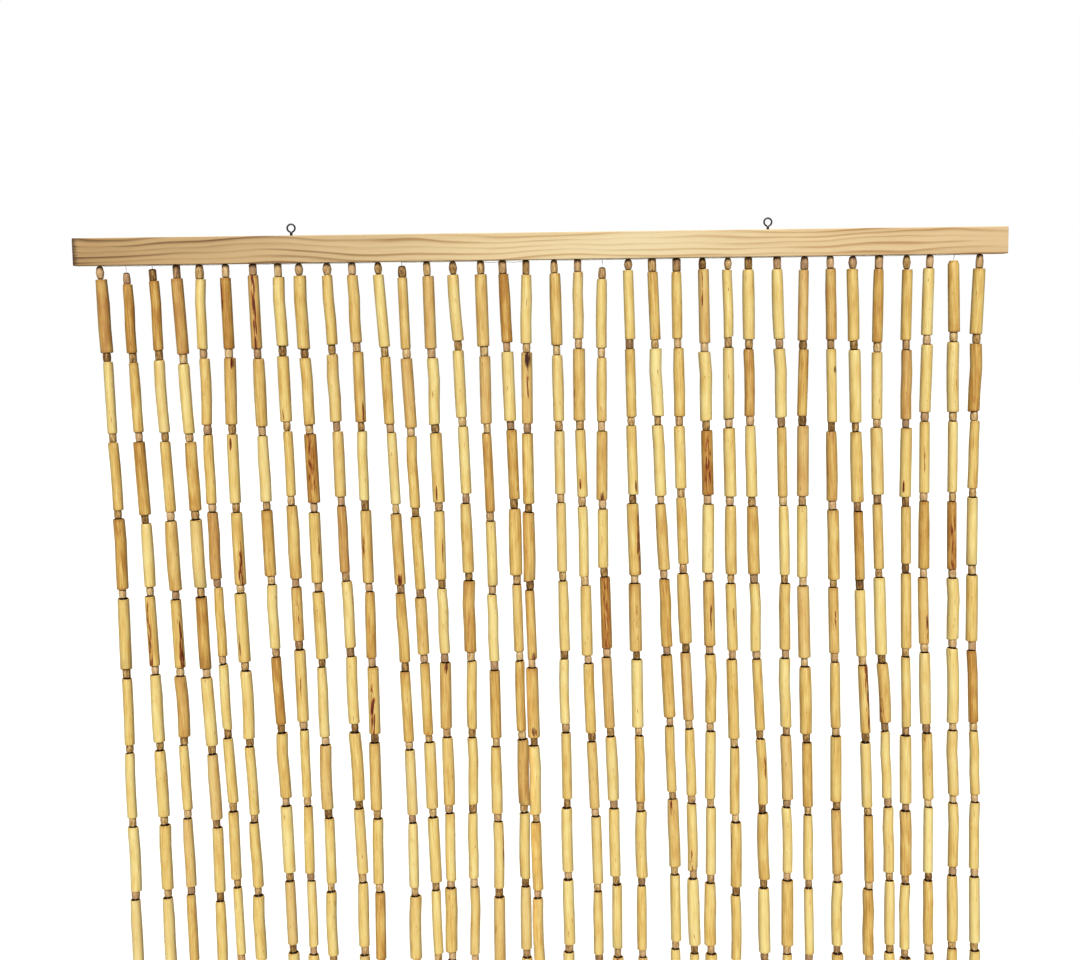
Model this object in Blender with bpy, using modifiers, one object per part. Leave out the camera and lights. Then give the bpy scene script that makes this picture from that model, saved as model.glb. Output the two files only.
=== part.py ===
"""Bamboo bead curtain that hangs from a wooden batten with two screw eyes.

Each strand is a row of bamboo tubes with a short bead between each pair, on one line.
The origin is midway between the two eyes' centres, above the middle of the batten.
+Z is up and the curtain's front faces -Y. All lengths are in metres.
"""

import math
import random
from collections import namedtuple

import bmesh
import bpy
from mathutils import Matrix, Vector

MM = 0.001
GAP = 0.3 * MM

BATTEN_LENGTH = 0.900
BATTEN_DEPTH = 0.018
BATTEN_HEIGHT = 0.026
BATTEN_EDGE = 0.8 * MM

EYE_HOLE_RADIUS = 2.9 * MM
EYE_WIRE_RADIUS = 0.8 * MM
EYE_RISE = 7.3 * MM
EYE_LEFT_X = -0.243
EYE_RIGHT_X = 0.217
EYE_SEGMENTS = 16
WIRE_SIDES = 6
SHANK_RADIUS = 0.8 * MM
SHANK_DEPTH = 0.012
SHANK_SIDES = 8
DRILL_SIDES = 12

TUBE_COUNT = 24
TUBE_PITCH = 77.0 * MM
TUBE_DIAMETERS = (9.6 * MM, 12.3 * MM)
BEAD_HEIGHTS = (8.2 * MM, 9.6 * MM)
TOP_BEAD_HEIGHT = 10.5 * MM
BEAD_DIAMETERS = (6.9 * MM, 8.1 * MM)
PITCH_SPREAD = 2.6 * MM
TILT_SPREAD = 0.8 * MM
NECK_SHARE = 0.86

SIDES = 3
WIDTH_PER_RADIUS = 2.0 * math.sin(math.pi / SIDES)
DEPTH_OFF_CENTRE = 0.25
THREAD_RADIUS = 0.7 * MM
LINE_HEIGHT = 1.2 * MM
LINE_DEPTH = 3.0 * MM
LINE_OVERHANG = 4.0 * MM
SHOULDER = 0.4 * MM

STRANDS_PER_GROUP = 6
SWING_MID_DEPTH = 0.250
SWING_LOW_DEPTH = 0.475
SWING_FADE = 0.150
SEED = 36

# One row for each strand, left to right, in mm: where it leaves the batten, how far it has
# swung to the right 250 mm and 475 mm down, how far below the batten its first tube
# starts, how far behind the batten's middle it hangs 475 mm down, and how far each of its
# first six tubes' tops is above the next tube's.
Strand = namedtuple("Strand", "x swing_mid swing_low drop back falls")
STRANDS = (
    Strand(-427, 7, 8, 13, 0, (79, 78, 75, 79, 80, 76)),
    Strand(-402, 8, 13, 18, 0, (75, 77, 80, 72, 79, 77)),
    Strand(-377, 8, 12, 15, 0, (76, 79, 78, 78, 77, 70)),
    Strand(-354, 9, 16, 13, 0, (82, 76, 76, 77, 81, 78)),
    Strand(-332, 4, 11, 14, 0, (76, 74, 76, 75, 77, 75)),
    Strand(-307, 2, 7, 13, 0, (77, 74, 77, 80, 78, 77)),
    Strand(-281, 6, 13, 11, 0, (80, 75, 73, 74, 73, 77)),
    Strand(-257, 6, 11, 13, 0, (76, 73, 73, 81, 63, 81)),
    Strand(-237, 8, 12, 12, 0, (79, 74, 77, 79, 76, 79)),
    Strand(-210, 8, 15, 12, 0, (76, 75, 73, 75, 76, 77)),
    Strand(-186, 7, 10, 12, 0, (74, 77, 78, 81, 76, 77)),
    Strand(-161, 12, 19, 12, 0, (79, 74, 80, 79, 79, 80)),
    Strand(-138, 8, 16, 15, 0, (78, 76, 79, 81, 66, 81)),
    Strand(-114, 7, 10, 14, 0, (79, 73, 77, 77, 75, 76)),
    Strand(-89, 9, 10, 13, 0, (73, 74, 76, 77, 81, 78)),
    Strand(-62, 5, 7, 13, 0, (79, 75, 87, 73, 77, 78)),
    Strand(-41, 8, 12, 13, -3.5, (75, 76, 78, 75, 77, 80)),
    Strand(-18, -1, 1, 14, 3.5, (75, 79, 78, 78, 79, 80)),
    Strand(9, 4, 6, 13, 0, (79, 74, 71, 78, 79, 75)),
    Strand(32, 2, 9, 12, 0, (74, 79, 76, 79, 79, 80)),
    Strand(56, -2, 4, 19, 0, (76, 72, 77, 68, 81, 81)),
    Strand(81, 3, 7, 11, 0, (76, 75, 77, 80, 77, 78)),
    Strand(104, 8, 16, 13, 0, (74, 75, 78, 75, 77, 73)),
    Strand(128, 4, 11, 13, 0, (74, 76, 71, 76, 80, 78)),
    Strand(153, 5, 7, 11, 0, (80, 77, 73, 77, 74, 79)),
    Strand(178, 2, 6, 12, 0, (75, 79, 77, 78, 77, 90)),
    Strand(198, 4, 12, 12, 0, (77, 75, 80, 77, 77, 82)),
    Strand(226, 7, 11, 12, 0, (77, 77, 78, 78, 76, 79)),
    Strand(253, -1, 4, 13, 0, (77, 75, 79, 81, 82, 78)),
    Strand(278, 4, 9, 12, 0, (78, 81, 78, 78, 76, 76)),
    Strand(300, 7, 17, 13, 0, (78, 81, 79, 79, 77, 79)),
    Strand(326, 1, 11, 13, 0, (81, 74, 76, 74, 87, 70)),
    Strand(353, 2, 5, 14, 0, (78, 77, 78, 67, 85, 81)),
    Strand(376, -3, 3, 13, 0, (74, 76, 79, 77, 76, 83)),
    Strand(400, 2, 6, 6, 0, (79, 78, 80, 77, 71, 85)),
    Strand(425, -3, 2, 14, 0, (73, 76, 76, 78, 77, 83)),
)

PINE = ("pine", (0.78, 0.60, 0.36), 0.55, 0.0)
STEEL = ("blackened_steel", (0.06, 0.055, 0.05), 0.40, 1.0)
BAMBOO = ("bamboo", (0.72, 0.50, 0.22), 0.38, 0.0)

BATTEN_TOP = -EYE_RISE
BATTEN_UNDERSIDE = BATTEN_TOP - BATTEN_HEIGHT
LINE_MIDDLE = BATTEN_UNDERSIDE - GAP - LINE_HEIGHT / 2

Section = namedtuple("Section", "x y z width")


def clear_scene():
    """Remove the objects of the starting scene."""
    for obj in list(bpy.data.objects):
        bpy.data.objects.remove(obj, do_unlink=True)


def new_collection(name):
    """Return a new collection under the scene's own."""
    collection = bpy.data.collections.new(name)
    bpy.context.scene.collection.children.link(collection)
    return collection


def new_material(name, colour, roughness, metallic):
    """Return a Principled material of one colour."""
    material = bpy.data.materials.new(name)
    material.use_nodes = True
    shader = material.node_tree.nodes["Principled BSDF"]
    shader.inputs["Base Color"].default_value = (*colour, 1.0)
    shader.inputs["Roughness"].default_value = roughness
    shader.inputs["Metallic"].default_value = metallic
    material.diffuse_color = (*colour, 1.0)
    return material


def file_away(obj, collection, name):
    """Name an object and move it to its collection."""
    obj.name = name
    obj.data.name = name
    for owner in list(obj.users_collection):
        owner.objects.unlink(obj)
    collection.objects.link(obj)
    return obj


def dress(obj, finish):
    """Give an object its own material."""
    kind, colour, roughness, metallic = finish
    obj.data.materials.clear()
    obj.data.materials.append(new_material(f"{kind}_{obj.name}", colour, roughness, metallic))


def hide_as_cutter(obj):
    """Mark an object as one that only shapes another."""
    obj.hide_render = True
    obj.display_type = "WIRE"


def add_boolean(target, other, operation):
    """Add an exact Boolean of another object to the target."""
    modifier = target.modifiers.new(f"{operation.lower()}_{other.name}", "BOOLEAN")
    modifier.operation = operation
    modifier.solver = "EXACT"
    modifier.object = other


def shade_round(obj, angle=40.0):
    """Shade a mesh smooth and keep its sharp edges."""
    obj.data.shade_smooth()
    obj.data.set_sharp_from_angle(angle=math.radians(angle))


def add_cylinder(name, collection, radius, low, high, x, sides):
    """Add an upright cylinder between two heights at the batten's middle."""
    bpy.ops.mesh.primitive_cylinder_add(
        vertices=sides,
        radius=radius,
        depth=high - low,
        location=(x, 0.0, (high + low) / 2),
    )
    return file_away(bpy.context.object, collection, name)


def make_batten(parts, cutters):
    """Make the batten, with a drilled hole for each eye's shank."""
    bpy.ops.mesh.primitive_cube_add(size=1.0, location=(0.0, 0.0, BATTEN_TOP - BATTEN_HEIGHT / 2))
    batten = file_away(bpy.context.object, parts, "batten")
    batten.data.transform(Matrix.Diagonal((BATTEN_LENGTH, BATTEN_DEPTH, BATTEN_HEIGHT, 1.0)))
    bevel = batten.modifiers.new("eased_edges", "BEVEL")
    bevel.width = BATTEN_EDGE
    bevel.segments = 1
    for side, x in (("left", EYE_LEFT_X), ("right", EYE_RIGHT_X)):
        drill = add_cylinder(
            f"drill_{side}",
            cutters,
            SHANK_RADIUS + GAP,
            BATTEN_TOP - SHANK_DEPTH - GAP,
            BATTEN_TOP + SHANK_DEPTH,
            x,
            DRILL_SIDES,
        )
        hide_as_cutter(drill)
        add_boolean(batten, drill, "DIFFERENCE")
    dress(batten, PINE)


def make_eye(parts, cutters, side, x):
    """Make one screw eye: a wire ring face on to the front, and its shank."""
    bpy.ops.mesh.primitive_torus_add(
        major_radius=EYE_HOLE_RADIUS + EYE_WIRE_RADIUS,
        minor_radius=EYE_WIRE_RADIUS,
        major_segments=EYE_SEGMENTS,
        minor_segments=WIRE_SIDES,
        location=(x, 0.0, 0.0),
        rotation=(math.pi / 2, 0.0, 0.0),
    )
    eye = file_away(bpy.context.object, parts, f"eye_{side}")
    shank = add_cylinder(
        f"shank_{side}",
        cutters,
        SHANK_RADIUS,
        BATTEN_TOP - SHANK_DEPTH,
        -EYE_HOLE_RADIUS - EYE_WIRE_RADIUS,
        x,
        SHANK_SIDES,
    )
    hide_as_cutter(shank)
    add_boolean(eye, shank, "UNION")
    shade_round(eye)
    dress(eye, STEEL)


def swing_at(strand, depth):
    """Return how far a strand has swung to the right at a depth below the batten.

    The swing follows a parabola through its two table values and then dies away.
    """
    mid = strand.swing_mid * MM
    low = strand.swing_low * MM
    curve = (low / SWING_LOW_DEPTH - mid / SWING_MID_DEPTH) / (SWING_LOW_DEPTH - SWING_MID_DEPTH)
    slope = mid / SWING_MID_DEPTH - curve * SWING_MID_DEPTH
    if depth <= SWING_LOW_DEPTH:
        return slope * depth + curve * depth * depth
    end_slope = slope + 2.0 * curve * SWING_LOW_DEPTH
    past = (depth - SWING_LOW_DEPTH) / SWING_FADE
    return low + end_slope * SWING_FADE * (1.0 - math.exp(-past))


def strand_sections(strand, number):
    """Return a strand's sections from its root down to its last bead.

    A strand whose first tube starts too close to the batten has no bead above it.
    """
    rng = random.Random(SEED * 100 + number)

    def section(depth, width, shift_x=0.0, shift_y=0.0):
        x = strand.x * MM + swing_at(strand, depth) + shift_x
        y = strand.back * MM * min(depth / SWING_LOW_DEPTH, 1.0) + shift_y
        return Section(x, y, BATTEN_UNDERSIDE - depth, width)

    thread_width = THREAD_RADIUS * WIDTH_PER_RADIUS
    root = BATTEN_UNDERSIDE - LINE_MIDDLE
    bead = rng.uniform(*BEAD_DIAMETERS)
    top = strand.drop * MM
    sections = [section(root, thread_width)]
    if top > BEAD_HEIGHTS[0]:
        bead_top = max(top - TOP_BEAD_HEIGHT, GAP + LINE_HEIGHT + 2.0 * SHOULDER)
        sections.append(section(bead_top - SHOULDER, thread_width))
        sections.append(section(bead_top, bead))
        sections.append(section(top - SHOULDER, bead))
    else:
        sections.append(section(top - SHOULDER, thread_width))
    for index in range(TUBE_COUNT):
        pitch = TUBE_PITCH + rng.uniform(-PITCH_SPREAD, PITCH_SPREAD)
        if index < len(strand.falls):
            pitch = strand.falls[index] * MM
        width = rng.uniform(*TUBE_DIAMETERS)
        bead = rng.uniform(*BEAD_DIAMETERS)
        height = rng.uniform(*BEAD_HEIGHTS)
        tilts = [rng.uniform(-TILT_SPREAD, TILT_SPREAD) for _ in range(4)]
        bottom = top + pitch - height
        sections.append(section(top, width, tilts[0], tilts[1]))
        sections.append(section(bottom, width, tilts[2], tilts[3]))
        top += pitch
        if index < TUBE_COUNT - 1:
            sections.append(section(top - height / 2, bead * NECK_SHARE))
    sections.append(section(bottom + SHOULDER, bead))
    sections.append(section(top, bead))
    return sections


def ring_points(section):
    """Return the corners of a section, with one flat side to the front."""
    radius = section.width / WIDTH_PER_RADIUS
    centre = Vector((section.x, section.y - radius * DEPTH_OFF_CENTRE, section.z))
    points = []
    for corner in range(SIDES):
        angle = math.pi / 2 + corner * 2.0 * math.pi / SIDES
        points.append(centre + radius * Vector((math.cos(angle), math.sin(angle), 0.0)))
    return points


def pull_strand(bm, sections):
    """Draw a flat face down through a strand's sections, one extrusion for each."""
    circle = bmesh.ops.create_circle(bm, cap_ends=True, segments=SIDES, radius=1.0)
    face = circle["verts"][0].link_faces[0]
    for vert, point in zip(face.verts, ring_points(sections[0])):
        vert.co = point
    root = face
    for section in sections[1:]:
        drawn = bmesh.ops.extrude_face_region(bm, geom=[face])
        if face is not root:
            bmesh.ops.delete(bm, geom=[face], context="FACES_ONLY")
        face = [item for item in drawn["geom"] if isinstance(item, bmesh.types.BMFace)][0]
        for vert, point in zip(face.verts, ring_points(section)):
            vert.co = point


def make_strand_group(parts, cutters, group):
    """Make one length of line along the batten and the strands that hang from it."""
    first = group * STRANDS_PER_GROUP
    members = STRANDS[first:first + STRANDS_PER_GROUP]
    bm = bmesh.new()
    for offset, strand in enumerate(members):
        pull_strand(bm, strand_sections(strand, first + offset))
    bmesh.ops.recalc_face_normals(bm, faces=bm.faces)
    mesh = bpy.data.meshes.new(f"strands_{group + 1}_drop")
    bm.to_mesh(mesh)
    bm.free()
    drop = bpy.data.objects.new(mesh.name, mesh)
    cutters.objects.link(drop)
    hide_as_cutter(drop)

    low = members[0].x * MM - LINE_OVERHANG
    high = members[-1].x * MM + LINE_OVERHANG
    bpy.ops.mesh.primitive_cube_add(size=1.0, location=((low + high) / 2, 0.0, LINE_MIDDLE))
    line = file_away(bpy.context.object, parts, f"strands_{group + 1}")
    line.data.transform(Matrix.Diagonal((high - low, LINE_DEPTH, LINE_HEIGHT, 1.0)))
    add_boolean(line, drop, "UNION")
    dress(line, BAMBOO)


def main():
    """Build the batten, the eyes and the strands."""
    clear_scene()
    parts = new_collection("bead_curtain")
    cutters = new_collection("cutters")
    make_batten(parts, cutters)
    make_eye(parts, cutters, "left", EYE_LEFT_X)
    make_eye(parts, cutters, "right", EYE_RIGHT_X)
    for group in range(len(STRANDS) // STRANDS_PER_GROUP):
        make_strand_group(parts, cutters, group)


main()
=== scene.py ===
"""Looks of a door curtain of cane tubes and short beads on a planed pine batten.

Thirty-six strands of thin clear line hang from the batten, and two screw eyes of dark wire
hold it up. Lengths are in metres, and a name that ends in _MM or _mm holds millimetres.
"""

import logging
import math
import random
from collections.abc import Callable
from dataclasses import dataclass
from enum import Enum
from functools import partial

import bmesh
import bpy
import numpy as np
from mathutils import Matrix, Vector


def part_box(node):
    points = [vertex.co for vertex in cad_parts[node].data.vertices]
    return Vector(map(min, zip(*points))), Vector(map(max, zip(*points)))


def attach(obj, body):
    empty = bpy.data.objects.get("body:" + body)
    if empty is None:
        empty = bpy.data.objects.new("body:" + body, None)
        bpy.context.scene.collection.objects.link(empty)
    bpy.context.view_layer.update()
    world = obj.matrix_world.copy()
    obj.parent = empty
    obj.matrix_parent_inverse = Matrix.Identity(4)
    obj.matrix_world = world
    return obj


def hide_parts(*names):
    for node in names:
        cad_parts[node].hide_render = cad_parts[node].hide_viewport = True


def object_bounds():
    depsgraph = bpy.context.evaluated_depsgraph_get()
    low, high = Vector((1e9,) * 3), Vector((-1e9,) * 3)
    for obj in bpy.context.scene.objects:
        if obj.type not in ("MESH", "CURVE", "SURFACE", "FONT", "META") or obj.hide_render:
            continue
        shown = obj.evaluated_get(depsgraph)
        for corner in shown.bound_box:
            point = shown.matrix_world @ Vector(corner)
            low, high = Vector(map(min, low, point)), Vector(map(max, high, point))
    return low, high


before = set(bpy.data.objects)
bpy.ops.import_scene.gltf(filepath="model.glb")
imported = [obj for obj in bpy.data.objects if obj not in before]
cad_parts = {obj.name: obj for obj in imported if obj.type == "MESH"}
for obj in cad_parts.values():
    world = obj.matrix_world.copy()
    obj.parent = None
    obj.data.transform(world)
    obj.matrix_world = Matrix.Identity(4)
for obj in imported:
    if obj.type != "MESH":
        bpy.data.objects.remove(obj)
CAD_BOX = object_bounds()

log = logging.getLogger("bead_curtain")

MM = 0.001
ROOT = "root"
IMAGE_WIDTH = 1080
# How close counts as the same place when a piece's own vertices are picked.
NEAR = 0.1 * MM
UP = (0.0, 0.0, 1.0)
# How level a face's normal is where the face is the end of a tube or bead.
LEVEL = 0.9
# What a piece's tint is multiplied by, to move its noises far from any other piece's.
APART_MM = (310.0, 530.0, 970.0)
# The inputs of a node that turns one range into another, in the order of a range's numbers.
ENDS = ("From Min", "From Max", "To Min", "To Max")

Tree = bpy.types.NodeTree
Node = bpy.types.Node
Socket = bpy.types.NodeSocket
Triple = tuple[float, float, float]
Range = tuple[float, float, float, float]
Tones = tuple[tuple[float, str], ...]


def linear(hex_colour: str) -> tuple[float, float, float, float]:
    """Turn an sRGB hex colour to linear.

    Args:
        hex_colour: A colour such as "#E1BE75".

    Returns:
        Red, green, blue and an alpha of one.
    """
    channels = (int(hex_colour[i:i + 2], 16) / 255.0 for i in (1, 3, 5))
    curve = [c / 12.92 if c <= 0.04045 else ((c + 0.055) / 1.055) ** 2.4 for c in channels]
    return curve[0], curve[1], curve[2], 1.0


def add_node(
    tree: Tree,
    kind: str,
    settings: dict[str | int, object] | None = None,
    links: dict[str | int, Socket] | None = None,
) -> Node:
    """Add a node to a material with its settings and links.

    Args:
        tree: The material's node tree.
        kind: The node's type, without the "ShaderNode" that it starts with.
        settings: Properties by name, inputs by name or number, a ramp's "stops" and the
            ends of a "range". Hex colours are turned to linear.
        links: The socket that feeds each input, by the input's name or number.

    Returns:
        The new node.
    """
    node = tree.nodes.new(f"ShaderNode{kind}")
    for key, value in (settings or {}).items():
        if key == "stops":
            stops = [(at, linear(tone) if isinstance(tone, str) else tone) for at, tone in value]
            ramp = node.color_ramp.elements
            ramp.remove(ramp[1])
            ramp[0].position, ramp[0].color = stops[0]
            for position, tone in stops[1:]:
                ramp.new(position).color = tone
        elif key == "range":
            for end, number in zip(ENDS, value):
                node.inputs[end].default_value = number
        elif isinstance(key, str) and hasattr(node, key):
            setattr(node, key, value)
        else:
            node.inputs[key].default_value = linear(value) if isinstance(value, str) else value
    for key, socket in (links or {}).items():
        tree.links.new(socket, node.inputs[key])
    return node


def drawn_grain(
    tree: Tree, place: Socket, sizes_mm: Triple, detail: float, unit: float = 1.0
) -> Socket:
    """Return a noise that is drawn out by a size of its own along each axis.

    Args:
        tree: The material's node tree.
        place: The place that the noise is read at.
        sizes_mm: The noise's sizes along X, Y and Z.
        detail: How many finer layers the noise has.
        unit: How long a millimetre is in the place's own unit.

    Returns:
        The noise.
    """
    scale = tuple(1 / (size * unit) for size in sizes_mm)
    scaled = add_node(tree, "Mapping", {"Scale": scale}, {0: place})
    noise = {"Scale": 1.0, "Detail": detail}
    return add_node(tree, "TexNoise", noise, {0: scaled.outputs[0]}).outputs[0]


def read_notes(tree: Tree) -> tuple[Socket, Node, Socket]:
    """Read what each tube or bead notes of itself.

    Args:
        tree: The material's node tree.

    Returns:
        The place on the piece, the node that parts its tint into tone, blush and seed, and
        the piece's own place, which the tint moves far from any other piece's.
    """
    place = add_node(tree, "Attribute", {"attribute_name": "place"}).outputs["Vector"]
    tint = add_node(tree, "Attribute", {"attribute_name": "tint"}).outputs["Vector"]
    tints = add_node(tree, "SeparateXYZ", links={0: tint})
    apart = {"operation": "MULTIPLY_ADD", 1: APART_MM}
    own = add_node(tree, "VectorMath", apart, {0: tint, 2: place})
    return place, tints, own.outputs[0]


def from_middle(tree: Tree, place: Socket, length_mm: float) -> Socket:
    """Return how far a place is from the middle of an upright piece, in millimetres.

    Args:
        tree: The material's node tree.
        place: The place on the piece.
        length_mm: The piece's length.

    Returns:
        The distance, up or down.
    """
    places = add_node(tree, "SeparateXYZ", links={0: place})
    halfway = {"operation": "SUBTRACT", 1: length_mm / 2}
    middle = add_node(tree, "Math", halfway, {0: places.outputs["Z"]})
    return add_node(tree, "Math", {"operation": "ABSOLUTE"}, {0: middle.outputs[0]}).outputs[0]


@dataclass(frozen=True)
class Finish:
    """A surface finish: what the real stuff is, and how it takes light."""

    name: str
    roughness: float

    def material(self) -> bpy.types.Material:
        """Return the finish's material, which is made the first time.

        Returns:
            The material.
        """
        found = bpy.data.materials.get(self.name)
        if found:
            return found
        made = bpy.data.materials.new(self.name)
        made.use_nodes = True
        shader = made.node_tree.nodes["Principled BSDF"]
        shader.inputs["Roughness"].default_value = self.roughness
        self.shade(made.node_tree, shader)
        return made

    def shade(self, tree: Tree, shader: Node) -> None:
        """Add the nodes that feed the shader.

        Args:
            tree: The material's node tree.
            shader: The shader that the nodes feed.
        """
        raise NotImplementedError


@dataclass(frozen=True)
class CaneSkin(Finish):
    """Dried bamboo cane, its skin left on and tumbled: satin, with fibres that run lengthwise.

    The eye sees straw, gold and amber tubes side by side, cloudy along each tube, and here
    and there red-brown veins or a burnt patch. The fibres are drawn coarser than real ones,
    which are about 0.3 mm across, or they wouldn't show.
    """

    name: str = "dried_cane_skin"
    roughness: float = 0.46
    tones: Tones = (
        (0.00, "#F7E6A6"),
        (0.22, "#F1DA95"),
        (0.44, "#EBCF86"),
        (0.62, "#E1BF75"),
        (0.80, "#D5AD62"),
        (1.00, "#C0904B"),
    )
    blush: str = "#D6AE82"
    rust: str = "#A9652A"
    char: str = "#662408"
    knot: str = "#451C08"
    fibre_mm: Triple = (1.0, 1.0, 26.0)
    cloud_mm: Triple = (8.0, 8.0, 24.0)
    vein_mm: Triple = (1.1, 1.1, 12.0)
    detail: float = 4.0
    relief: float = 0.5
    fibre_depth_mm: float = 0.15
    fibre_share: float = 1.25
    cloud_share: float = 0.9
    tube_length_mm: float = 68.0
    worn_mm: float = 4.0
    worn_tone: tuple[float, float] = (-1.06, -0.88)
    vein_spread: Range = (0.35, 1.25, 0.3, -0.1)
    vein_edges: Triple = (0.66, 0.74, 0.84)
    patch_shape: Triple = (1.0, 0.3, 0.42)
    patch_ragged_mm: float = 4.0
    patch_edge_mm: Range = (2.6, 3.9, 1.0, 0.0)

    def shade(self, tree: Tree, shader: Node) -> None:
        """Mix the tube's own tone with clouds and fibres, then lay its marks over it.

        Args:
            tree: The material's node tree.
            shader: The shader that the nodes feed.
        """
        add = partial(add_node, tree)
        place, tints, own = read_notes(tree)
        fibre = drawn_grain(tree, own, self.fibre_mm, self.detail)
        cloud = drawn_grain(tree, own, self.cloud_mm, self.detail)
        weighed = {"operation": "MULTIPLY_ADD", 1: self.cloud_share}
        cloudy = add("Math", weighed, {0: cloud, 2: tints.outputs["X"]})
        weighed = {"operation": "MULTIPLY_ADD", 1: self.fibre_share}
        lined = add("Math", weighed, {0: fibre, 2: cloudy.outputs[0]})
        worn = self.worn_ends(tree, place)
        tone = add("Math", {"operation": "ADD"}, {0: lined.outputs[0], 1: worn})
        skin = add("ValToRGB", {"stops": self.tones}, {0: tone.outputs[0]})
        blushed = add(
            "Mix",
            {"data_type": "RGBA", 7: self.blush},
            {0: tints.outputs["Y"], 6: skin.outputs["Color"]},
        )
        marked = self.mark(tree, place, own, blushed.outputs[2])
        relief = {"Strength": self.relief, "Distance": self.fibre_depth_mm * MM}
        bump = add("Bump", relief, {"Height": fibre})
        tree.links.new(marked, shader.inputs["Base Color"])
        tree.links.new(bump.outputs[0], shader.inputs["Normal"])

    def worn_ends(self, tree: Tree, place: Socket) -> Socket:
        """Return how far the tone falls or rises towards the tube's worn ends.

        The noises average one half each, which this takes off again.

        Args:
            tree: The material's node tree.
            place: The place on the tube.

        Returns:
            What is added to the tone.
        """
        half = self.tube_length_mm / 2
        away = from_middle(tree, place, self.tube_length_mm)
        ends = {
            "interpolation_type": "SMOOTHSTEP",
            "range": (half - self.worn_mm, half, *self.worn_tone),
        }
        return add_node(tree, "MapRange", ends, {"Value": away}).outputs[0]

    def mark(self, tree: Tree, place: Socket, own: Socket, skin: Socket) -> Socket:
        """Lay the tube's red-brown veins and its burnt patch over the skin.

        The attribute "mark" holds how strong the veins and the patch are and one over the
        patch's size, "reach" one over how far the veins spread each way, and "spot" the
        place that they lie round.

        Args:
            tree: The material's node tree.
            place: The place on the tube.
            own: The tube's own place, unlike any other tube's.
            skin: The skin's colour so far.

        Returns:
            The marked skin's colour.
        """
        add = partial(add_node, tree)
        mark, spot, reach = (
            add("Attribute", {"attribute_name": name}).outputs["Vector"]
            for name in ("mark", "spot", "reach")
        )
        marks = add("SeparateXYZ", links={0: mark})
        offset = add("VectorMath", {"operation": "SUBTRACT"}, {0: place, 1: spot})
        drawn = add("VectorMath", {"operation": "MULTIPLY"}, {0: offset.outputs[0], 1: reach})
        far = add("VectorMath", {"operation": "LENGTH"}, {0: drawn.outputs[0]})
        spread = {"interpolation_type": "SMOOTHSTEP", "range": self.vein_spread}
        near = add("MapRange", spread, {"Value": far.outputs["Value"]})
        links = {0: near.outputs[0], 1: marks.outputs["X"]}
        strong = add("Math", {"operation": "MULTIPLY"}, links)
        vein = drawn_grain(tree, own, self.vein_mm, self.detail)
        veined = add("Math", {"operation": "ADD"}, {0: vein, 1: strong.outputs[0]})
        colour = skin
        for edges, tone in zip((self.vein_edges[:2], self.vein_edges[1:]), (self.rust, self.char)):
            soft = {"interpolation_type": "SMOOTHSTEP", "range": edges}
            amount = add("MapRange", soft, {"Value": veined.outputs[0]})
            links = {0: amount.outputs[0], 6: colour}
            colour = add("Mix", {"data_type": "RGBA", 7: tone}, links).outputs[2]
        links = {0: offset.outputs[0], "Scale": marks.outputs["Z"]}
        sized = add("VectorMath", {"operation": "SCALE"}, links)
        shaped = {"operation": "MULTIPLY", 1: self.patch_shape}
        tight = add("VectorMath", shaped, {0: sized.outputs[0]})
        distance = add("VectorMath", {"operation": "LENGTH"}, {0: tight.outputs[0]})
        rough = {"operation": "MULTIPLY_ADD", 1: self.patch_ragged_mm}
        ragged = add("Math", rough, {0: vein, 2: distance.outputs["Value"]})
        soft = {"interpolation_type": "SMOOTHSTEP", "range": self.patch_edge_mm}
        inside = add("MapRange", soft, {"Value": ragged.outputs[0]})
        links = {0: inside.outputs[0], 1: marks.outputs["Y"]}
        patch = add("Math", {"operation": "MULTIPLY"}, links)
        links = {0: patch.outputs[0], 6: colour}
        return add("Mix", {"data_type": "RGBA", 7: self.knot}, links).outputs[2]


@dataclass(frozen=True)
class ShadedCutCane(Finish):
    """Sawn end of dried cane: a dull rim mottled by its fibre ends, darkened as painted shade."""

    name: str = "sawn_cane_end"
    roughness: float = 0.75
    # Painted shade: both browns are darkened for the thin shade line where a bead sits on the
    # head.
    tones: Tones = ((0.38, "#A9814C"), (0.72, "#6F4C28"))
    grain_mm: float = 0.5
    detail: float = 2.0

    def shade(self, tree: Tree, shader: Node) -> None:
        """Mottle the cane between its two tones.

        Args:
            tree: The material's node tree.
            shader: The shader that the nodes feed.
        """
        add = partial(add_node, tree)
        place = add("Attribute", {"attribute_name": "place"})
        noise = {"Scale": 1 / self.grain_mm, "Detail": self.detail}
        grain = add("TexNoise", noise, {0: place.outputs["Vector"]})
        cane = add("ValToRGB", {"stops": self.tones}, {0: grain.outputs[0]})
        tree.links.new(cane.outputs["Color"], shader.inputs["Base Color"])


@dataclass(frozen=True)
class ShadedCaneBore(ShadedCutCane):
    """Hollow of a cane tube: rough pith in painted-shade browns, nearly black in its own shade."""

    name: str = "cane_pith"
    roughness: float = 0.9
    # Painted shade: dark browns that deepen the hollow's shade.
    tones: Tones = ((0.35, "#4C2F16"), (0.75, "#7A522B"))
    grain_mm: float = 2.0
    detail: float = 3.0


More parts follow.
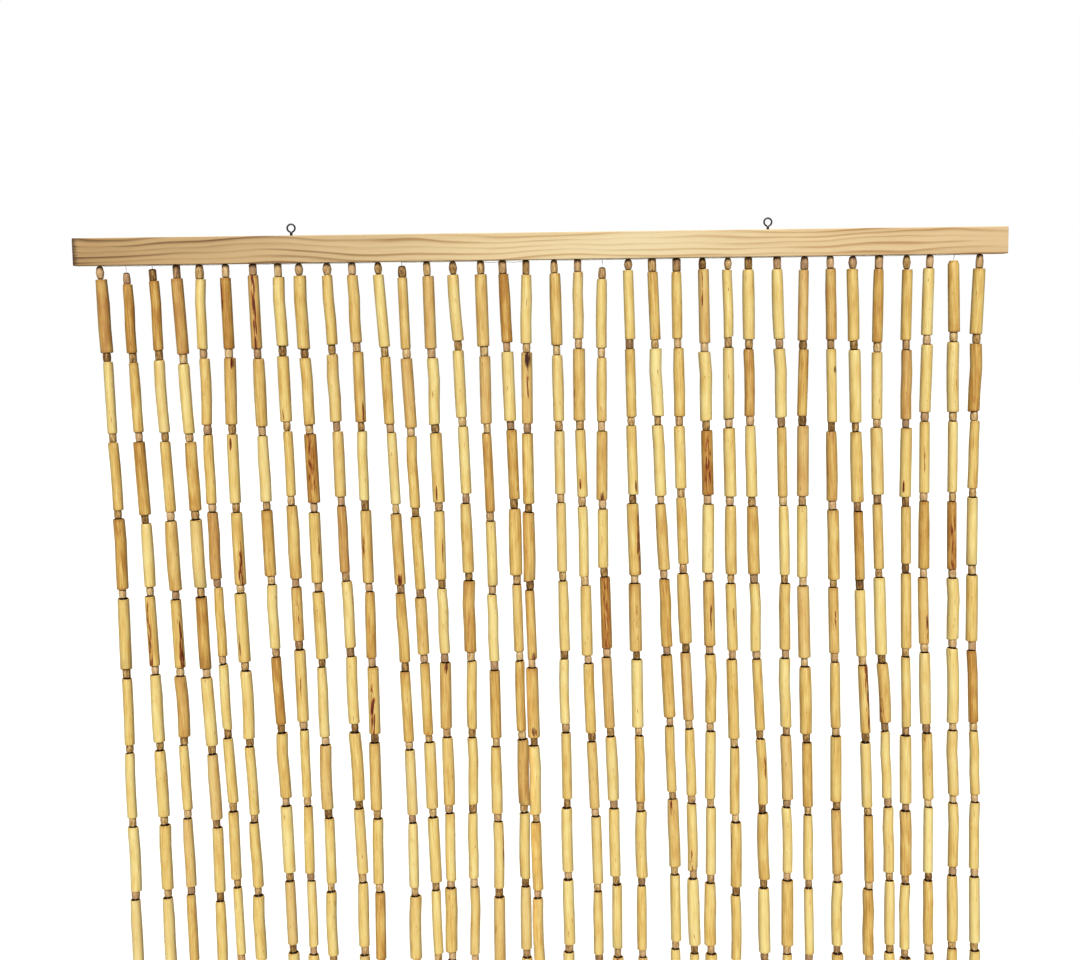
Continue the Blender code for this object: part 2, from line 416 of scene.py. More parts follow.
@dataclass(frozen=True)
class BeadWood(Finish):
    """Short bead cut from a thin branch: dull wood, mottled olive, brown and pinkish tan.

    The eye sees a light flank between dark rims, which are painted shade where the bead meets
    the tubes, as well as scorched saw cuts.
    """

    name: str = "branch_bead_wood"
    roughness: float = 0.55
    tones: Tones = ((0.00, "#E9D2A4"), (0.35, "#D2B27C"), (0.65, "#B08C54"), (1.00, "#76552C"))
    blush: str = "#DFBE9E"
    # Brown of the ends: painted contact shade where the bead meets tubes, partly scorched saw
    # cuts.
    rim: str = "#73512C"
    mottle_mm: Triple = (1.6, 1.6, 5.0)
    detail: float = 3.0
    relief: float = 0.5
    mottle_depth_mm: float = 0.2
    mottle_share: float = 2.0
    height_mm: float = 9.0
    ragged_mm: float = 2.4
    end_shade_mm: float = 1.6

    def shade(self, tree: Tree, shader: Node) -> None:
        """Mottle the bead about its own tone and paint shade onto its ends.

        Args:
            tree: The material's node tree.
            shader: The shader that the nodes feed.
        """
        add = partial(add_node, tree)
        place, tints, own = read_notes(tree)
        mottle = drawn_grain(tree, own, self.mottle_mm, self.detail)
        weighed = {"operation": "MULTIPLY_ADD", 1: self.mottle_share, 2: -self.mottle_share / 2}
        spread = add("Math", weighed, {0: mottle})
        links = {0: tints.outputs[0], 1: spread.outputs[0]}
        tone = add("Math", {"operation": "ADD"}, links)
        wood = add("ValToRGB", {"stops": self.tones}, {0: tone.outputs[0]})
        links = {0: tints.outputs["Y"], 6: wood.outputs["Color"]}
        blushed = add("Mix", {"data_type": "RGBA", 7: self.blush}, links)
        # Painted contact shade: both ends darken to the rim's brown, with a ragged edge.
        away = from_middle(tree, place, self.height_mm)
        rough = {"operation": "MULTIPLY_ADD", 1: self.ragged_mm}
        ragged = add("Math", rough, {0: mottle, 2: away})
        half = self.height_mm / 2
        soft = {"interpolation_type": "SMOOTHSTEP", "range": (half, half + self.end_shade_mm)}
        end_shade = add("MapRange", soft, {"Value": ragged.outputs[0]})
        links = {0: end_shade.outputs[0], 6: blushed.outputs[2]}
        end_shaded = add("Mix", {"data_type": "RGBA", 7: self.rim}, links)
        relief = {"Strength": self.relief, "Distance": self.mottle_depth_mm * MM}
        bump = add("Bump", relief, {"Height": mottle})
        tree.links.new(end_shaded.outputs[2], shader.inputs["Base Color"])
        tree.links.new(bump.outputs[0], shader.inputs["Normal"])


@dataclass(frozen=True)
class ClearLine(Finish):
    """Thin nylon line, drawn and half clear: it only shows as a pale grey glint."""

    name: str = "clear_nylon_line"
    roughness: float = 0.25
    gloss_spread: float = 0.1
    colour: str = "#F4F4EE"
    cover: float = 0.55
    ior: float = 1.53
    stretch_mm: float = 4.0

    def shade(self, tree: Tree, shader: Node) -> None:
        """Let light through and vary the gloss along the line.

        Args:
            tree: The material's node tree.
            shader: The shader that the nodes feed.
        """
        add = partial(add_node, tree)
        place = add("TexCoord").outputs["Object"]
        marks = add("TexNoise", {"Scale": 1 / (self.stretch_mm * MM)}, {0: place})
        low, high = self.roughness - self.gloss_spread, self.roughness + self.gloss_spread
        gloss = add("MapRange", {"To Min": low, "To Max": high}, {"Value": marks.outputs[0]})
        tree.links.new(gloss.outputs[0], shader.inputs["Roughness"])
        shader.inputs["Base Color"].default_value = linear(self.colour)
        shader.inputs["Alpha"].default_value = self.cover
        shader.inputs["IOR"].default_value = self.ior


@dataclass(frozen=True)
class PlanedPine(Finish):
    """Planed bare pine: dull cream wood with long wavy brown year rings.

    The rings are shells about a pith line below and behind the batten, so they run on from
    the front over the edges and show as arcs on the sawn ends. The fine grain is drawn
    coarser than the real one, or it wouldn't show.
    """

    name: str = "planed_pine"
    roughness: float = 0.58
    early: Tones = (
        (0.02, "#C8A878"),
        (0.20, "#D5B98C"),
        (0.42, "#E9D3A8"),
        (0.60, "#EEDCB4"),
        (0.78, "#EAD2A7"),
        (0.97, "#E4C99E"),
    )
    late: Tones = (
        (0.02, "#6E4C26"),
        (0.20, "#80592E"),
        (0.42, "#C4A26E"),
        (0.60, "#D2B381"),
        (0.78, "#BC945E"),
        (0.97, "#B28854"),
    )
    # Painted shade at the left end: tone, cover, and the edge's reach, raggedness and softness.
    left_end_shade_tone: str = "#553A1C"
    end_cover: float = 0.95
    left_end_shade_mm: float = 2.6
    end_ragged: float = 3.0
    end_soft: float = 1.5
    half_length: float = 0.45
    ring_mm: float = 5.0
    ring_profile: tuple[tuple[float, float], ...] = (
        (0.00, 0.4),
        (0.08, 0.0),
        (0.50, 0.08),
        (0.88, 1.0),
        (1.00, 0.4),
    )
    pith_mm: Triple = (0.0, 26.0, -78.0)
    sway_mm: float = 30.0
    wave_mm: Triple = (170.0, 170.0 / 3.5, 170.0 / 3.5)
    fade_mm: Triple = (130.0, 7.0, 7.0)
    band_mm: Triple = (260.0, 20.0, 20.0)
    fibre_mm: Triple = (30.0, 0.8, 0.8)
    wave_detail: float = 1.5
    broad_detail: float = 1.0
    fibre_detail: float = 3.0
    relief: float = 0.3
    fibre_depth_mm: float = 0.2
    fade: Range = (0.34, 0.64, 0.25, 1.0)
    band_share: float = 1.1
    fibre_share: float = 0.45
    clean_share: float = 0.74

    def shade(self, tree: Tree, shader: Node) -> None:
        """Draw the rings on wood that goes from brown at the left to cream and tan.

        Args:
            tree: The material's node tree.
            shader: The shader that the nodes feed.
        """
        add = partial(add_node, tree)
        here = add("TexCoord").outputs["Object"]
        wave = drawn_grain(tree, here, self.wave_mm, self.wave_detail, MM)
        sway = self.sway_mm * MM
        drift = add("Math", {"operation": "MULTIPLY_ADD", 1: sway, 2: -sway / 2}, {0: wave})
        shift = add("CombineXYZ", links={"Z": drift.outputs[0]})
        waved = add("VectorMath", {"operation": "ADD"}, {0: here, 1: shift.outputs[0]}).outputs[0]
        fibre = drawn_grain(tree, here, self.fibre_mm, self.fibre_detail, MM)
        band = drawn_grain(tree, waved, self.band_mm, self.broad_detail, MM)
        weighed = {"operation": "MULTIPLY_ADD", 1: self.band_share}
        banded = add("Math", weighed, {0: band, 2: self.rings(tree, waved)})
        weighed = {"operation": "MULTIPLY_ADD", 1: self.fibre_share}
        lined = add("Math", weighed, {0: fibre, 2: banded.outputs[0]})
        clean = {"operation": "SUBTRACT", 1: self.clean_share, "use_clamp": True}
        depth = add("Math", clean, {0: lined.outputs[0]})
        along = add("SeparateXYZ", links={0: here}).outputs["X"]
        length = {"range": (-self.half_length, self.half_length)}
        share = add("MapRange", length, {"Value": along}).outputs[0]
        early, late = (
            add("ValToRGB", {"stops": tones}, {0: share}).outputs[0]
            for tones in (self.early, self.late)
        )
        links = {0: depth.outputs[0], 6: early, 7: late}
        wood = add("Mix", {"data_type": "RGBA"}, links).outputs[2]
        relief = {"Strength": self.relief, "Distance": self.fibre_depth_mm * MM}
        bump = add("Bump", relief, {"Height": fibre})
        # The left end gets painted shade.
        tree.links.new(self.shaded_left_end(tree, along, fibre, wood), shader.inputs["Base Color"])
        tree.links.new(bump.outputs[0], shader.inputs["Normal"])

    def rings(self, tree: Tree, waved: Socket) -> Socket:
        """Draw the year rings, which come and go along the wood.

        Args:
            tree: The material's node tree.
            waved: The place in the wood, swayed up and down along the batten.

        Returns:
            How dark the rings are, from 0 to 1.
        """
        add = partial(add_node, tree)
        pith = {"Location": tuple(-part * MM for part in self.pith_mm)}
        centred = add("Mapping", pith, {0: waved})
        # At a scale of one, the wave texture's rings are 2 pi / 20 of a unit apart.
        shells = {
            "wave_type": "RINGS",
            "rings_direction": "X",
            "wave_profile": "SAW",
            "Scale": 2 * math.pi / (20 * self.ring_mm * MM),
        }
        rings = add("TexWave", shells, {0: centred.outputs[0]})
        stops = tuple((at, (grey, grey, grey, 1.0)) for at, grey in self.ring_profile)
        late = add("ValToRGB", {"stops": stops}, {0: rings.outputs["Fac"]})
        fade = drawn_grain(tree, waved, self.fade_mm, self.broad_detail, MM)
        soft = {"interpolation_type": "SMOOTHSTEP", "range": self.fade}
        uneven = add("MapRange", soft, {"Value": fade})
        links = {0: late.outputs["Color"], 1: uneven.outputs[0]}
        return add("Math", {"operation": "MULTIPLY"}, links).outputs[0]

    def shaded_left_end(self, tree: Tree, along: Socket, fibre: Socket, wood: Socket) -> Socket:
        """Paint shade on the batten's left end, with an edge that follows the fibres.

        Args:
            tree: The material's node tree.
            along: The place along the batten.
            fibre: The fine grain.
            wood: The wood's colour so far.

        Returns:
            The wood's colour.
        """
        add = partial(add_node, tree)
        reach = self.left_end_shade_mm * MM
        rough = {"operation": "MULTIPLY_ADD", 1: -self.end_ragged * reach}
        from_end = add("Math", rough, {0: fibre, 2: along})
        low, high = -self.half_length - self.end_soft * reach, -self.half_length + reach
        soft = {"interpolation_type": "SMOOTHSTEP", "range": (low, high, self.end_cover, 0.0)}
        end = add("MapRange", soft, {"Value": from_end.outputs[0]})
        links = {0: end.outputs[0], 6: wood}
        return add("Mix", {"data_type": "RGBA", 7: self.left_end_shade_tone}, links).outputs[2]


@dataclass(frozen=True)
class DarkWire(Finish):
    """Drawn steel wire with a dull blackened plating."""

    name: str = "blackened_steel_wire"
    roughness: float = 0.4
    gloss_spread: float = 0.12
    tones: Tones = ((0.5, "#4A4A4C"), (0.75, "#7C7B78"))
    wear_mm: float = 1.5
    detail: float = 3.0

    def shade(self, tree: Tree, shader: Node) -> None:
        """Wear the plating in small patches.

        Args:
            tree: The material's node tree.
            shader: The shader that the nodes feed.
        """
        add = partial(add_node, tree)
        place = add("TexCoord").outputs["Object"]
        noise = {"Scale": 1 / (self.wear_mm * MM), "Detail": self.detail}
        wear = add("TexNoise", noise, {0: place})
        plating = add("ValToRGB", {"stops": self.tones}, {0: wear.outputs[0]})
        low, high = self.roughness - self.gloss_spread, self.roughness + self.gloss_spread
        gloss = add("MapRange", {"To Min": low, "To Max": high}, {"Value": wear.outputs[0]})
        shader.inputs["Metallic"].default_value = 1.0
        tree.links.new(plating.outputs["Color"], shader.inputs["Base Color"])
        tree.links.new(gloss.outputs[0], shader.inputs["Roughness"])


@dataclass(frozen=True)
class PaleFloor(Finish):
    """Matt white painted studio floor with a faint cloudiness."""

    name: str = "pale_studio_floor"
    roughness: float = 0.8
    tones: Tones = ((0.3, "#F8F8F6"), (0.7, "#F4F4F1"))
    cloud: float = 0.6

    def shade(self, tree: Tree, shader: Node) -> None:
        """Cloud the paint a little.

        Args:
            tree: The material's node tree.
            shader: The shader that the nodes feed.
        """
        add = partial(add_node, tree)
        place = add("TexCoord").outputs["Object"]
        cloud = add("TexNoise", {"Scale": 1 / self.cloud}, {0: place})
        paint = add("ValToRGB", {"stops": self.tones}, {0: cloud.outputs[0]})
        tree.links.new(paint.outputs["Color"], shader.inputs["Base Color"])


class Part(Enum):
    """The kinds of mesh element that can be picked in edit mode."""

    VERT = "verts"
    EDGE = "edges"
    FACE = "faces"


def pick(obj: bpy.types.Object, part: Part, test: Callable[[Vector, Vector], bool]) -> None:
    """Select the parts of a mesh in edit mode that pass a test, and nothing else.

    Args:
        obj: The object in edit mode.
        part: What to select.
        test: Says yes or no to a part's middle and, for a face, its normal.
    """
    bpy.ops.mesh.select_mode(type=part.name)
    bpy.ops.mesh.select_all(action="DESELECT")
    bm = bmesh.from_edit_mesh(obj.data)
    for element in getattr(bm, part.value):
        if part is Part.VERT:
            middle, normal = element.co, element.normal
        elif part is Part.EDGE:
            middle, normal = (element.verts[0].co + element.verts[1].co) / 2, Vector()
        else:
            middle, normal = element.calc_center_median(), element.normal
        if test(middle, normal):
            element.select = True
    bm.select_flush_mode()
    bmesh.update_edit_mesh(obj.data)


def cut_across(place: Vector, facing: Triple) -> None:
    """Cut all of a mesh in edit mode with a plane, and leave the cut's edges selected."""
    bpy.ops.mesh.select_all(action="SELECT")
    bpy.ops.mesh.bisect(plane_co=place, plane_no=facing)


def squeeze(share: float, x: float = 0.0) -> None:
    """Widen or narrow what is selected about an upright axis."""
    bpy.ops.transform.resize(value=(share, share, 1.0), center_override=(x, 0.0, 0.0))


def deselect() -> None:
    """Leave nothing selected in object mode."""
    bpy.ops.object.select_all(action="DESELECT")


def focus(obj: bpy.types.Object) -> None:
    """Leave only one object selected, and make it the active one.

    Args:
        obj: The object.
    """
    deselect()
    obj.select_set(True)
    bpy.context.view_layer.objects.active = obj


def settle(obj: bpy.types.Object) -> bpy.types.Object:
    """Put an object's place, turn and scale into its mesh.

    Args:
        obj: The object.

    Returns:
        The same object, at the origin.
    """
    focus(obj)
    bpy.ops.object.transform_apply(location=True, rotation=True, scale=True)
    return obj


def join(pieces: list[bpy.types.Object], name: str) -> bpy.types.Object:
    """Join objects that sit at the origin into one.

    Args:
        pieces: The objects, of which the first takes in the others.
        name: The joined piece's name.

    Returns:
        The joined object.
    """
    focus(pieces[0])
    for piece in pieces:
        piece.select_set(True)
    bpy.ops.object.join()
    pieces[0].name = name
    pieces[0].data.name = name
    return pieces[0]


def add_cylinder(sides: int, radius: float, length: float, foot: Vector) -> bpy.types.Object:
    """Add an upright cylinder with closed ends.

    Args:
        sides: How many sides it has.
        radius: Its radius.
        length: Its length.
        foot: The middle of its lower end.

    Returns:
        The cylinder, with its place in its mesh.
    """
    deselect()
    bpy.ops.mesh.primitive_cylinder_add(
        vertices=sides,
        radius=radius,
        depth=length,
        location=foot + Vector((0.0, 0.0, length / 2)),
    )
    return settle(bpy.context.object)


def coat(obj: bpy.types.Object, *finishes: Finish) -> None:
    """Give an object its finishes, in the order of their numbers.

    Args:
        obj: The object.
        finishes: The finishes, of which all its faces start with the first.
    """
    obj.data.materials.clear()
    for finish in finishes:
        obj.data.materials.append(finish.material())


def radial(place: Vector) -> float:
    """Return how far a place is from the upright axis through the origin."""
    return math.hypot(place.x, place.y)


@dataclass(frozen=True)
class TubeForm:
    """One form of cane tube, modelled once, upright on its foot at the origin.

    A tube bows aside at its two middle rows, tapers to its head, is rounded in at its
    shoulder and is cut aslant at either end. What lies within row_mm of a row, head_mm of
    the head or reach_mm of an end moves with it. Each copy takes the mesh's own place, in
    millimetres, as its attribute "place".
    """

    name: str
    bow_mm: tuple[float, float] = (0.0, 0.0)
    taper: float = 1.0
    foot_slant: float = 0.0
    head_slant: float = 0.0
    swell: float = 1.0
    shoulder: float = 1.0
    shoulder_mm: float = 3.5
    head_mm: float = 1.5
    row_mm: float = 2.0
    reach_mm: float = 4.0
    rim_share: float = 0.93
    rim_level: float = 0.8
    bore_share: float = 0.9
    length_mm: float = 68.0
    radius_mm: float = 5.45
    wall_mm: float = 1.0
    foot_round_mm: float = 0.8
    head_round_mm: float = 0.5
    sides: int = 12
    smooth_angle: float = math.radians(38)

    def model(self) -> bpy.types.Object:
        """Turn a cylinder into a hollow tube with eased ends.

        Returns:
            The hidden pattern that the tubes are copied from.
        """
        radius = self.radius_mm * MM
        length = self.length_mm * MM
        tube = add_cylinder(self.sides, radius, length, Vector())
        bpy.ops.object.mode_set(mode="EDIT")
        pick(tube, Part.FACE, lambda middle, normal: abs(normal.z) > LEVEL)
        bpy.ops.mesh.inset(thickness=self.wall_mm * MM, use_individual=True)
        bpy.ops.mesh.delete(type="FACE")
        bpy.ops.mesh.select_mode(type="EDGE")
        bpy.ops.mesh.select_non_manifold(extend=False)
        bpy.ops.mesh.bridge_edge_loops()
        rim = self.rim_share * radius
        for height, round_mm in ((0.0, self.foot_round_mm), (length, self.head_round_mm)):
            pick(
                tube,
                Part.EDGE,
                lambda middle, normal: abs(middle.z - height) < NEAR and radial(middle) > rim,
            )
            bpy.ops.mesh.bevel(offset=round_mm * MM, segments=1)
        self.shape(tube)
        bpy.ops.object.mode_set(mode="OBJECT")
        bpy.ops.object.shade_smooth_by_angle(angle=self.smooth_angle)
        self.dress(tube)
        return tube

    def shape(self, tube: bpy.types.Object) -> None:
        """Bow, taper and slant the tube as its form says.

        Args:
            tube: The straight tube, in edit mode.
        """
        length = self.length_mm * MM
        pick(tube, Part.EDGE, lambda middle, normal: abs(middle.z - length / 2) < 0.1 * length)
        bpy.ops.mesh.subdivide(number_cuts=2)
        for row, bow in enumerate(self.bow_mm, start=1):
            height = length * row / 3
            pick(
                tube,
                Part.VERT,
                lambda middle, normal: abs(middle.z - height) < self.row_mm * MM,
            )
            bpy.ops.transform.translate(value=(bow * MM, 0.0, 0.0))
            squeeze(self.swell, bow * MM)
        cut_across(Vector((0.0, 0.0, length - self.shoulder_mm * MM)), UP)
        for reach, share in ((self.reach_mm, self.taper), (self.head_mm, self.shoulder)):
            pick(tube, Part.VERT, lambda middle, normal: length - middle.z < reach * MM)
            squeeze(share)
        reach = self.reach_mm * MM
        for end, slant in ((0.0, self.foot_slant), (length, self.head_slant)):
            pick(tube, Part.VERT, lambda middle, normal: abs(middle.z - end) < reach)
            bpy.ops.transform.rotate(
                value=slant, orient_axis="Y", center_override=(0.0, 0.0, end)
            )

    def dress(self, tube: bpy.types.Object) -> None:
        """Give the skin, the sawn ends and the bore their finishes, and note each place.

        Args:
            tube: The tube.
        """
        # The sawn ends and the bore take finishes painted dark as shade.
        coat(tube, CaneSkin(), ShadedCutCane(), ShadedCaneBore())
        bore = self.bore_share * (self.radius_mm - self.wall_mm) * MM
        for polygon in tube.data.polygons:
            inward = polygon.normal.dot(polygon.center - Vector((0.0, 0.0, polygon.center.z)))
            level = abs(polygon.normal.z) > self.rim_level
            if level and radial(polygon.center) > bore:
                polygon.material_index = 1
            elif inward < 0.0:
                polygon.material_index = 2
        note_places(tube)


@dataclass(frozen=True)
class BeadForm:
    """One form of bead, modelled once, upright on its foot at the origin."""

    name: str
    bulge: float
    head: float = 1.0
    foot: float = 1.0
    round_mm: float = 1.0
    height_mm: float = 9.0
    radius_mm: float = 3.75
    rim_share: float = 0.4
    hole_mm: float = 0.9
    sides: int = 10
    smooth_angle: float = math.radians(38)

    def model(self) -> bpy.types.Object:
        """Turn a cylinder into a rounded bead with a hole for the line.

        Returns:
            The hidden pattern that the beads are copied from.
        """
        radius = self.radius_mm * MM
        height = self.height_mm * MM
        bead = add_cylinder(self.sides, radius, height, Vector())
        bpy.ops.object.mode_set(mode="EDIT")
        pick(bead, Part.EDGE, lambda middle, normal: abs(middle.z - height / 2) < NEAR)
        bpy.ops.mesh.subdivide(number_cuts=1)
        shares = ((height / 2, self.bulge), (height, self.head), (0.0, self.foot))
        for level, share in shares:
            pick(bead, Part.VERT, lambda middle, normal: abs(middle.z - level) < NEAR)
            squeeze(share)
        pick(bead, Part.EDGE, lambda middle, normal: abs(middle.z - height / 2) > 0.45 * height)
        bpy.ops.mesh.bevel(offset=self.round_mm * MM, segments=2)
        pick(bead, Part.FACE, lambda middle, normal: abs(normal.z) > LEVEL)
        bpy.ops.mesh.inset(thickness=radius * self.rim_share, use_individual=True)
        for up, end in ((-1.0, height), (1.0, 0.0)):
            pick(
                bead,
                Part.FACE,
                lambda middle, normal: abs(middle.z - end) < NEAR and radial(middle) < NEAR,
            )
            bpy.ops.mesh.extrude_region_move(
                TRANSFORM_OT_translate={"value": (0.0, 0.0, up * self.hole_mm * MM)}
            )
        bpy.ops.object.mode_set(mode="OBJECT")
        bpy.ops.object.shade_smooth_by_angle(angle=self.smooth_angle)
        coat(bead, BeadWood())
        note_places(bead)
        return bead


def note_places(pattern: bpy.types.Object) -> None:
    """Store each corner's own place in millimetres, then hide the pattern.

    Args:
        pattern: The tube or bead that was modelled.
    """
    mesh = pattern.data
    places = np.zeros(len(mesh.vertices) * 3, np.float32)
    mesh.vertices.foreach_get("co", places)
    layer = mesh.attributes.new("place", "FLOAT_VECTOR", "POINT")
    layer.data.foreach_set("vector", places / MM)
    pattern.hide_render = True


def place_copy(
    pattern: bpy.types.Object, matrix: Matrix, notes: dict[str, Triple]
) -> bpy.types.Object:
    """Copy a pattern to its place on a strand.

    Args:
        pattern: The tube or bead that was modelled.
        matrix: Where the copy goes, how it turns and how far it is stretched.
        notes: What each of the copy's attributes holds, the same all over.

    Returns:
        The copy, at the origin with its place in its own mesh.
    """
    mesh = pattern.data.copy()
    mesh.transform(matrix)
    for name, value in notes.items():
        layer = mesh.attributes.new(name, "FLOAT_VECTOR", "POINT")
        layer.data.foreach_set("vector", np.tile(np.float32(value), len(mesh.vertices)))
    copy = bpy.data.objects.new(pattern.name, mesh)
    bpy.context.scene.collection.objects.link(copy)
    return copy


@dataclass(frozen=True)
class Link:
    """A tube or a bead on its strand: its foot and head, and how wide it is."""

    foot: Vector
    head: Vector
    width: float

    def standing(self, turn: float, oval: float, radius_mm: float, height_mm: float) -> Matrix:
        """Return the matrix that stands a pattern in the link's place.

        Args:
            turn: How far the pattern is turned about its own axis.
            oval: How much wider it is one way than round, and narrower the other.
            radius_mm: The pattern's own radius.
            height_mm: The pattern's own height.

        Returns:
            The matrix.
        """
        axis = self.head - self.foot
        tilt = Vector(UP).rotation_difference(axis).to_matrix().to_4x4()
        scale = self.width / (2 * radius_mm * MM)
        tall = axis.length / (height_mm * MM)
        stretch = Matrix.Diagonal((scale * (1 + oval), scale * (1 - oval), tall, 1.0))
        return Matrix.Translation(self.foot) @ tilt @ Matrix.Rotation(turn, 4, "Z") @ stretch


# One over how far, in millimetres, a mark reaches into the wall of a tube.
INWARD_REACH = 0.15


@dataclass(frozen=True)
class Blemish:
    """What stands out on a tube: its tone, blush, veins and burnt patch, each from 0 to 1.

    The veins reach across_mm to each side and along_mm up and down. The patch is smaller
    the larger patch_scale is.
    """

    tone: float
    blush: float
    veins: float
    patch: float
    across_mm: float
    along_mm: float
    patch_scale: float = 1.0

    @property
    def dark(self) -> Triple:
        """How strong the veins and the patch are, and one over the patch's size."""
        return self.veins, self.patch, self.patch_scale

    @property
    def reach(self) -> Triple:
        """One over how far the veins spread across, inward and along the tube."""
        return 1 / self.across_mm, INWARD_REACH, 1 / self.along_mm


class Mark(Enum):
    """The kinds of tube that stand out."""

    BLUSHED = Blemish(0.5, 0.3, 0.0, 0.0, 4.0, 20.0)
    MOTTLED = Blemish(0.5, 0.0, 0.9, 0.35, 3.0, 60.0)
    SPLIT = Blemish(0.66, 0.2, 1.0, 0.0, 2.5, 80.0)
    CHARRED = Blemish(0.45, 0.2, 1.0, 1.0, 1.7, 50.0, patch_scale=0.5)
    STREAKED = Blemish(0.56, 0.1, 0.95, 0.0, 1.5, 20.0)
    RUSSET = Blemish(0.92, 0.0, 0.65, 0.0, 4.5, 90.0)
    SPOTTED = Blemish(0.34, 0.0, 1.0, 0.0, 1.5, 9.0)
    BURNT = Blemish(0.58, 0.1, 0.85, 0.6, 3.0, 9.0)
    FLECKED = Blemish(0.36, 0.0, 0.7, 0.9, 0.9, 4.0)
    LINED = Blemish(0.38, 0.0, 0.9, 0.0, 0.8, 16.0)
    SPECKLED = Blemish(0.55, 0.1, 0.45, 0.0, 3.5, 25.0)
    DOMED = Blemish(0.58, 0.0, 0.0, 0.0, 4.0, 20.0)


@dataclass(frozen=True)
class NotedTube:
    """A tube that stands out: its strand and its place down it, both counted from one.

    high is its mark's height as a share of the tube, and aside how far the mark is from the
    middle, from -1 at the left to 1 at the right.
    """

    strand: int
    tube: int
    mark: Mark
    high: float = 0.5
    aside: float = 0.0


NOTED_TUBES = (
    NotedTube(7, 1, Mark.SPLIT),
    NotedTube(14, 1, Mark.BLUSHED),
    NotedTube(29, 1, Mark.BLUSHED),
    NotedTube(35, 1, Mark.DOMED),
    NotedTube(6, 2, Mark.BURNT, 0.92, 0.5),
    NotedTube(8, 2, Mark.LINED, 0.1, -0.3),
    NotedTube(11, 2, Mark.STREAKED, 0.1, 0.6),
    NotedTube(13, 2, Mark.BLUSHED),
    NotedTube(16, 2, Mark.BLUSHED),
    NotedTube(18, 2, Mark.CHARRED, 0.91, 0.1),
    NotedTube(30, 2, Mark.FLECKED, 0.72, 0.5),
    NotedTube(6, 3, Mark.SPOTTED, 0.86, -0.2),
    NotedTube(9, 3, Mark.RUSSET),
    NotedTube(20, 3, Mark.SPOTTED, 0.2, -0.4),
    NotedTube(21, 3, Mark.BURNT, 0.04, 0.0),
    NotedTube(22, 3, Mark.SPOTTED, 0.12, 0.5),
    NotedTube(25, 3, Mark.RUSSET),
    NotedTube(29, 3, Mark.BLUSHED),
    NotedTube(33, 3, Mark.SPOTTED, 0.15, -0.5),
    NotedTube(14, 3, Mark.LINED, 0.15, -0.3),
    NotedTube(34, 3, Mark.LINED, 0.5, -0.2),
    NotedTube(6, 4, Mark.MOTTLED, 0.1, 0.4),
    NotedTube(9, 4, Mark.LINED, 0.5, 0.6),
    NotedTube(11, 4, Mark.STREAKED, 0.5, -0.5),
    NotedTube(12, 4, Mark.BURNT, 0.06, 0.0),
    NotedTube(14, 4, Mark.LINED, 0.45, 0.5),
    NotedTube(22, 4, Mark.MOTTLED, 0.4, 0.8),
    NotedTube(35, 4, Mark.RUSSET),
    NotedTube(2, 5, Mark.MOTTLED, 0.3, -0.4),
    NotedTube(3, 5, Mark.MOTTLED, 0.2, 0.6),
    NotedTube(6, 5, Mark.LINED, 0.25, -0.5),
    NotedTube(8, 5, Mark.SPECKLED),
    NotedTube(18, 5, Mark.BURNT, 0.05, 0.2),
    NotedTube(21, 5, Mark.RUSSET),
    NotedTube(22, 5, Mark.SPECKLED),
    NotedTube(25, 5, Mark.STREAKED, 0.5, 0.2),
    NotedTube(26, 5, Mark.LINED, 0.5, 0.3),
    NotedTube(30, 5, Mark.SPECKLED),
    NotedTube(34, 5, Mark.STREAKED, 0.25, 0.5),
    NotedTube(8, 6, Mark.LINED, 0.5, 0.0),
    NotedTube(11, 6, Mark.MOTTLED, 0.2, -0.2),
    NotedTube(14, 6, Mark.BURNT, 0.95, 0.2),
    NotedTube(18, 6, Mark.BURNT, 0.1, 0.0),
    NotedTube(24, 6, Mark.BLUSHED),
    NotedTube(31, 6, Mark.MOTTLED, 0.6, 0.5),
)


# The tones of pale, golden, amber and brown tubes.
PLAIN_TONES = (0.2, 0.5, 0.7, 0.85)


@dataclass(frozen=True)
class ToneRow:
    """One row of tubes: the strands, counted from one, whose tube is of each plain tone."""

    pale: tuple[int, ...] = ()
    golden: tuple[int, ...] = ()
    amber: tuple[int, ...] = ()
    brown: tuple[int, ...] = ()

    def tone(self, strand: int, drawn: float) -> float:
        """Return a tube's tone, from 0, pale, to 1.

        Args:
            strand: The tube's strand.
            drawn: The tone of a tube that isn't listed.

        Returns:
            The listed tone, or else the drawn one.
        """
        listed = zip((self.pale, self.golden, self.amber, self.brown), PLAIN_TONES)
        return next((tone for strands, tone in listed if strand in strands), drawn)


TONE_ROWS = (
    ToneRow(
        pale=(12, 15, 18, 20, 22, 26, 27, 34),
        golden=(9, 11, 13, 16, 19, 23, 24, 25, 31, 33, 36),
        amber=(30, 32),
        brown=(1, 2, 3, 4, 6, 17),
    ),
    ToneRow(
        pale=(1, 3, 4, 14, 15, 17, 19, 25, 26, 28, 31, 32, 34, 35),
        golden=(2, 5, 7, 9, 12, 20, 22, 24),
        amber=(8, 29, 33, 36),
        brown=(27,),
    ),
    ToneRow(
        pale=(7, 11, 12, 15, 19, 24, 26, 27, 35),
        golden=(1, 3, 5, 8, 13, 28, 31, 36),
        amber=(2, 4, 16, 17, 30),
        brown=(21,),
    ),
    ToneRow(
        pale=(2, 4, 16, 19, 20, 25, 28, 36),
        golden=(3, 8, 13, 15, 17, 23, 24, 30, 32, 33),
        amber=(7, 18, 31, 34),
        brown=(1, 5, 10),
    ),
    ToneRow(
        pale=(7, 10, 14, 16, 19, 31, 32, 35),
        golden=(1, 5, 12, 13, 17, 24, 26, 28, 29, 33, 36),
        amber=(8, 11, 15, 23),
        brown=(4,),
    ),
    ToneRow(
        pale=(2, 5, 9, 19, 22, 28, 34, 35),
        golden=(1, 12, 13, 21, 24, 26, 27, 29, 30, 32),
        amber=(3, 16, 17),
        brown=(7, 36),
    ),
)


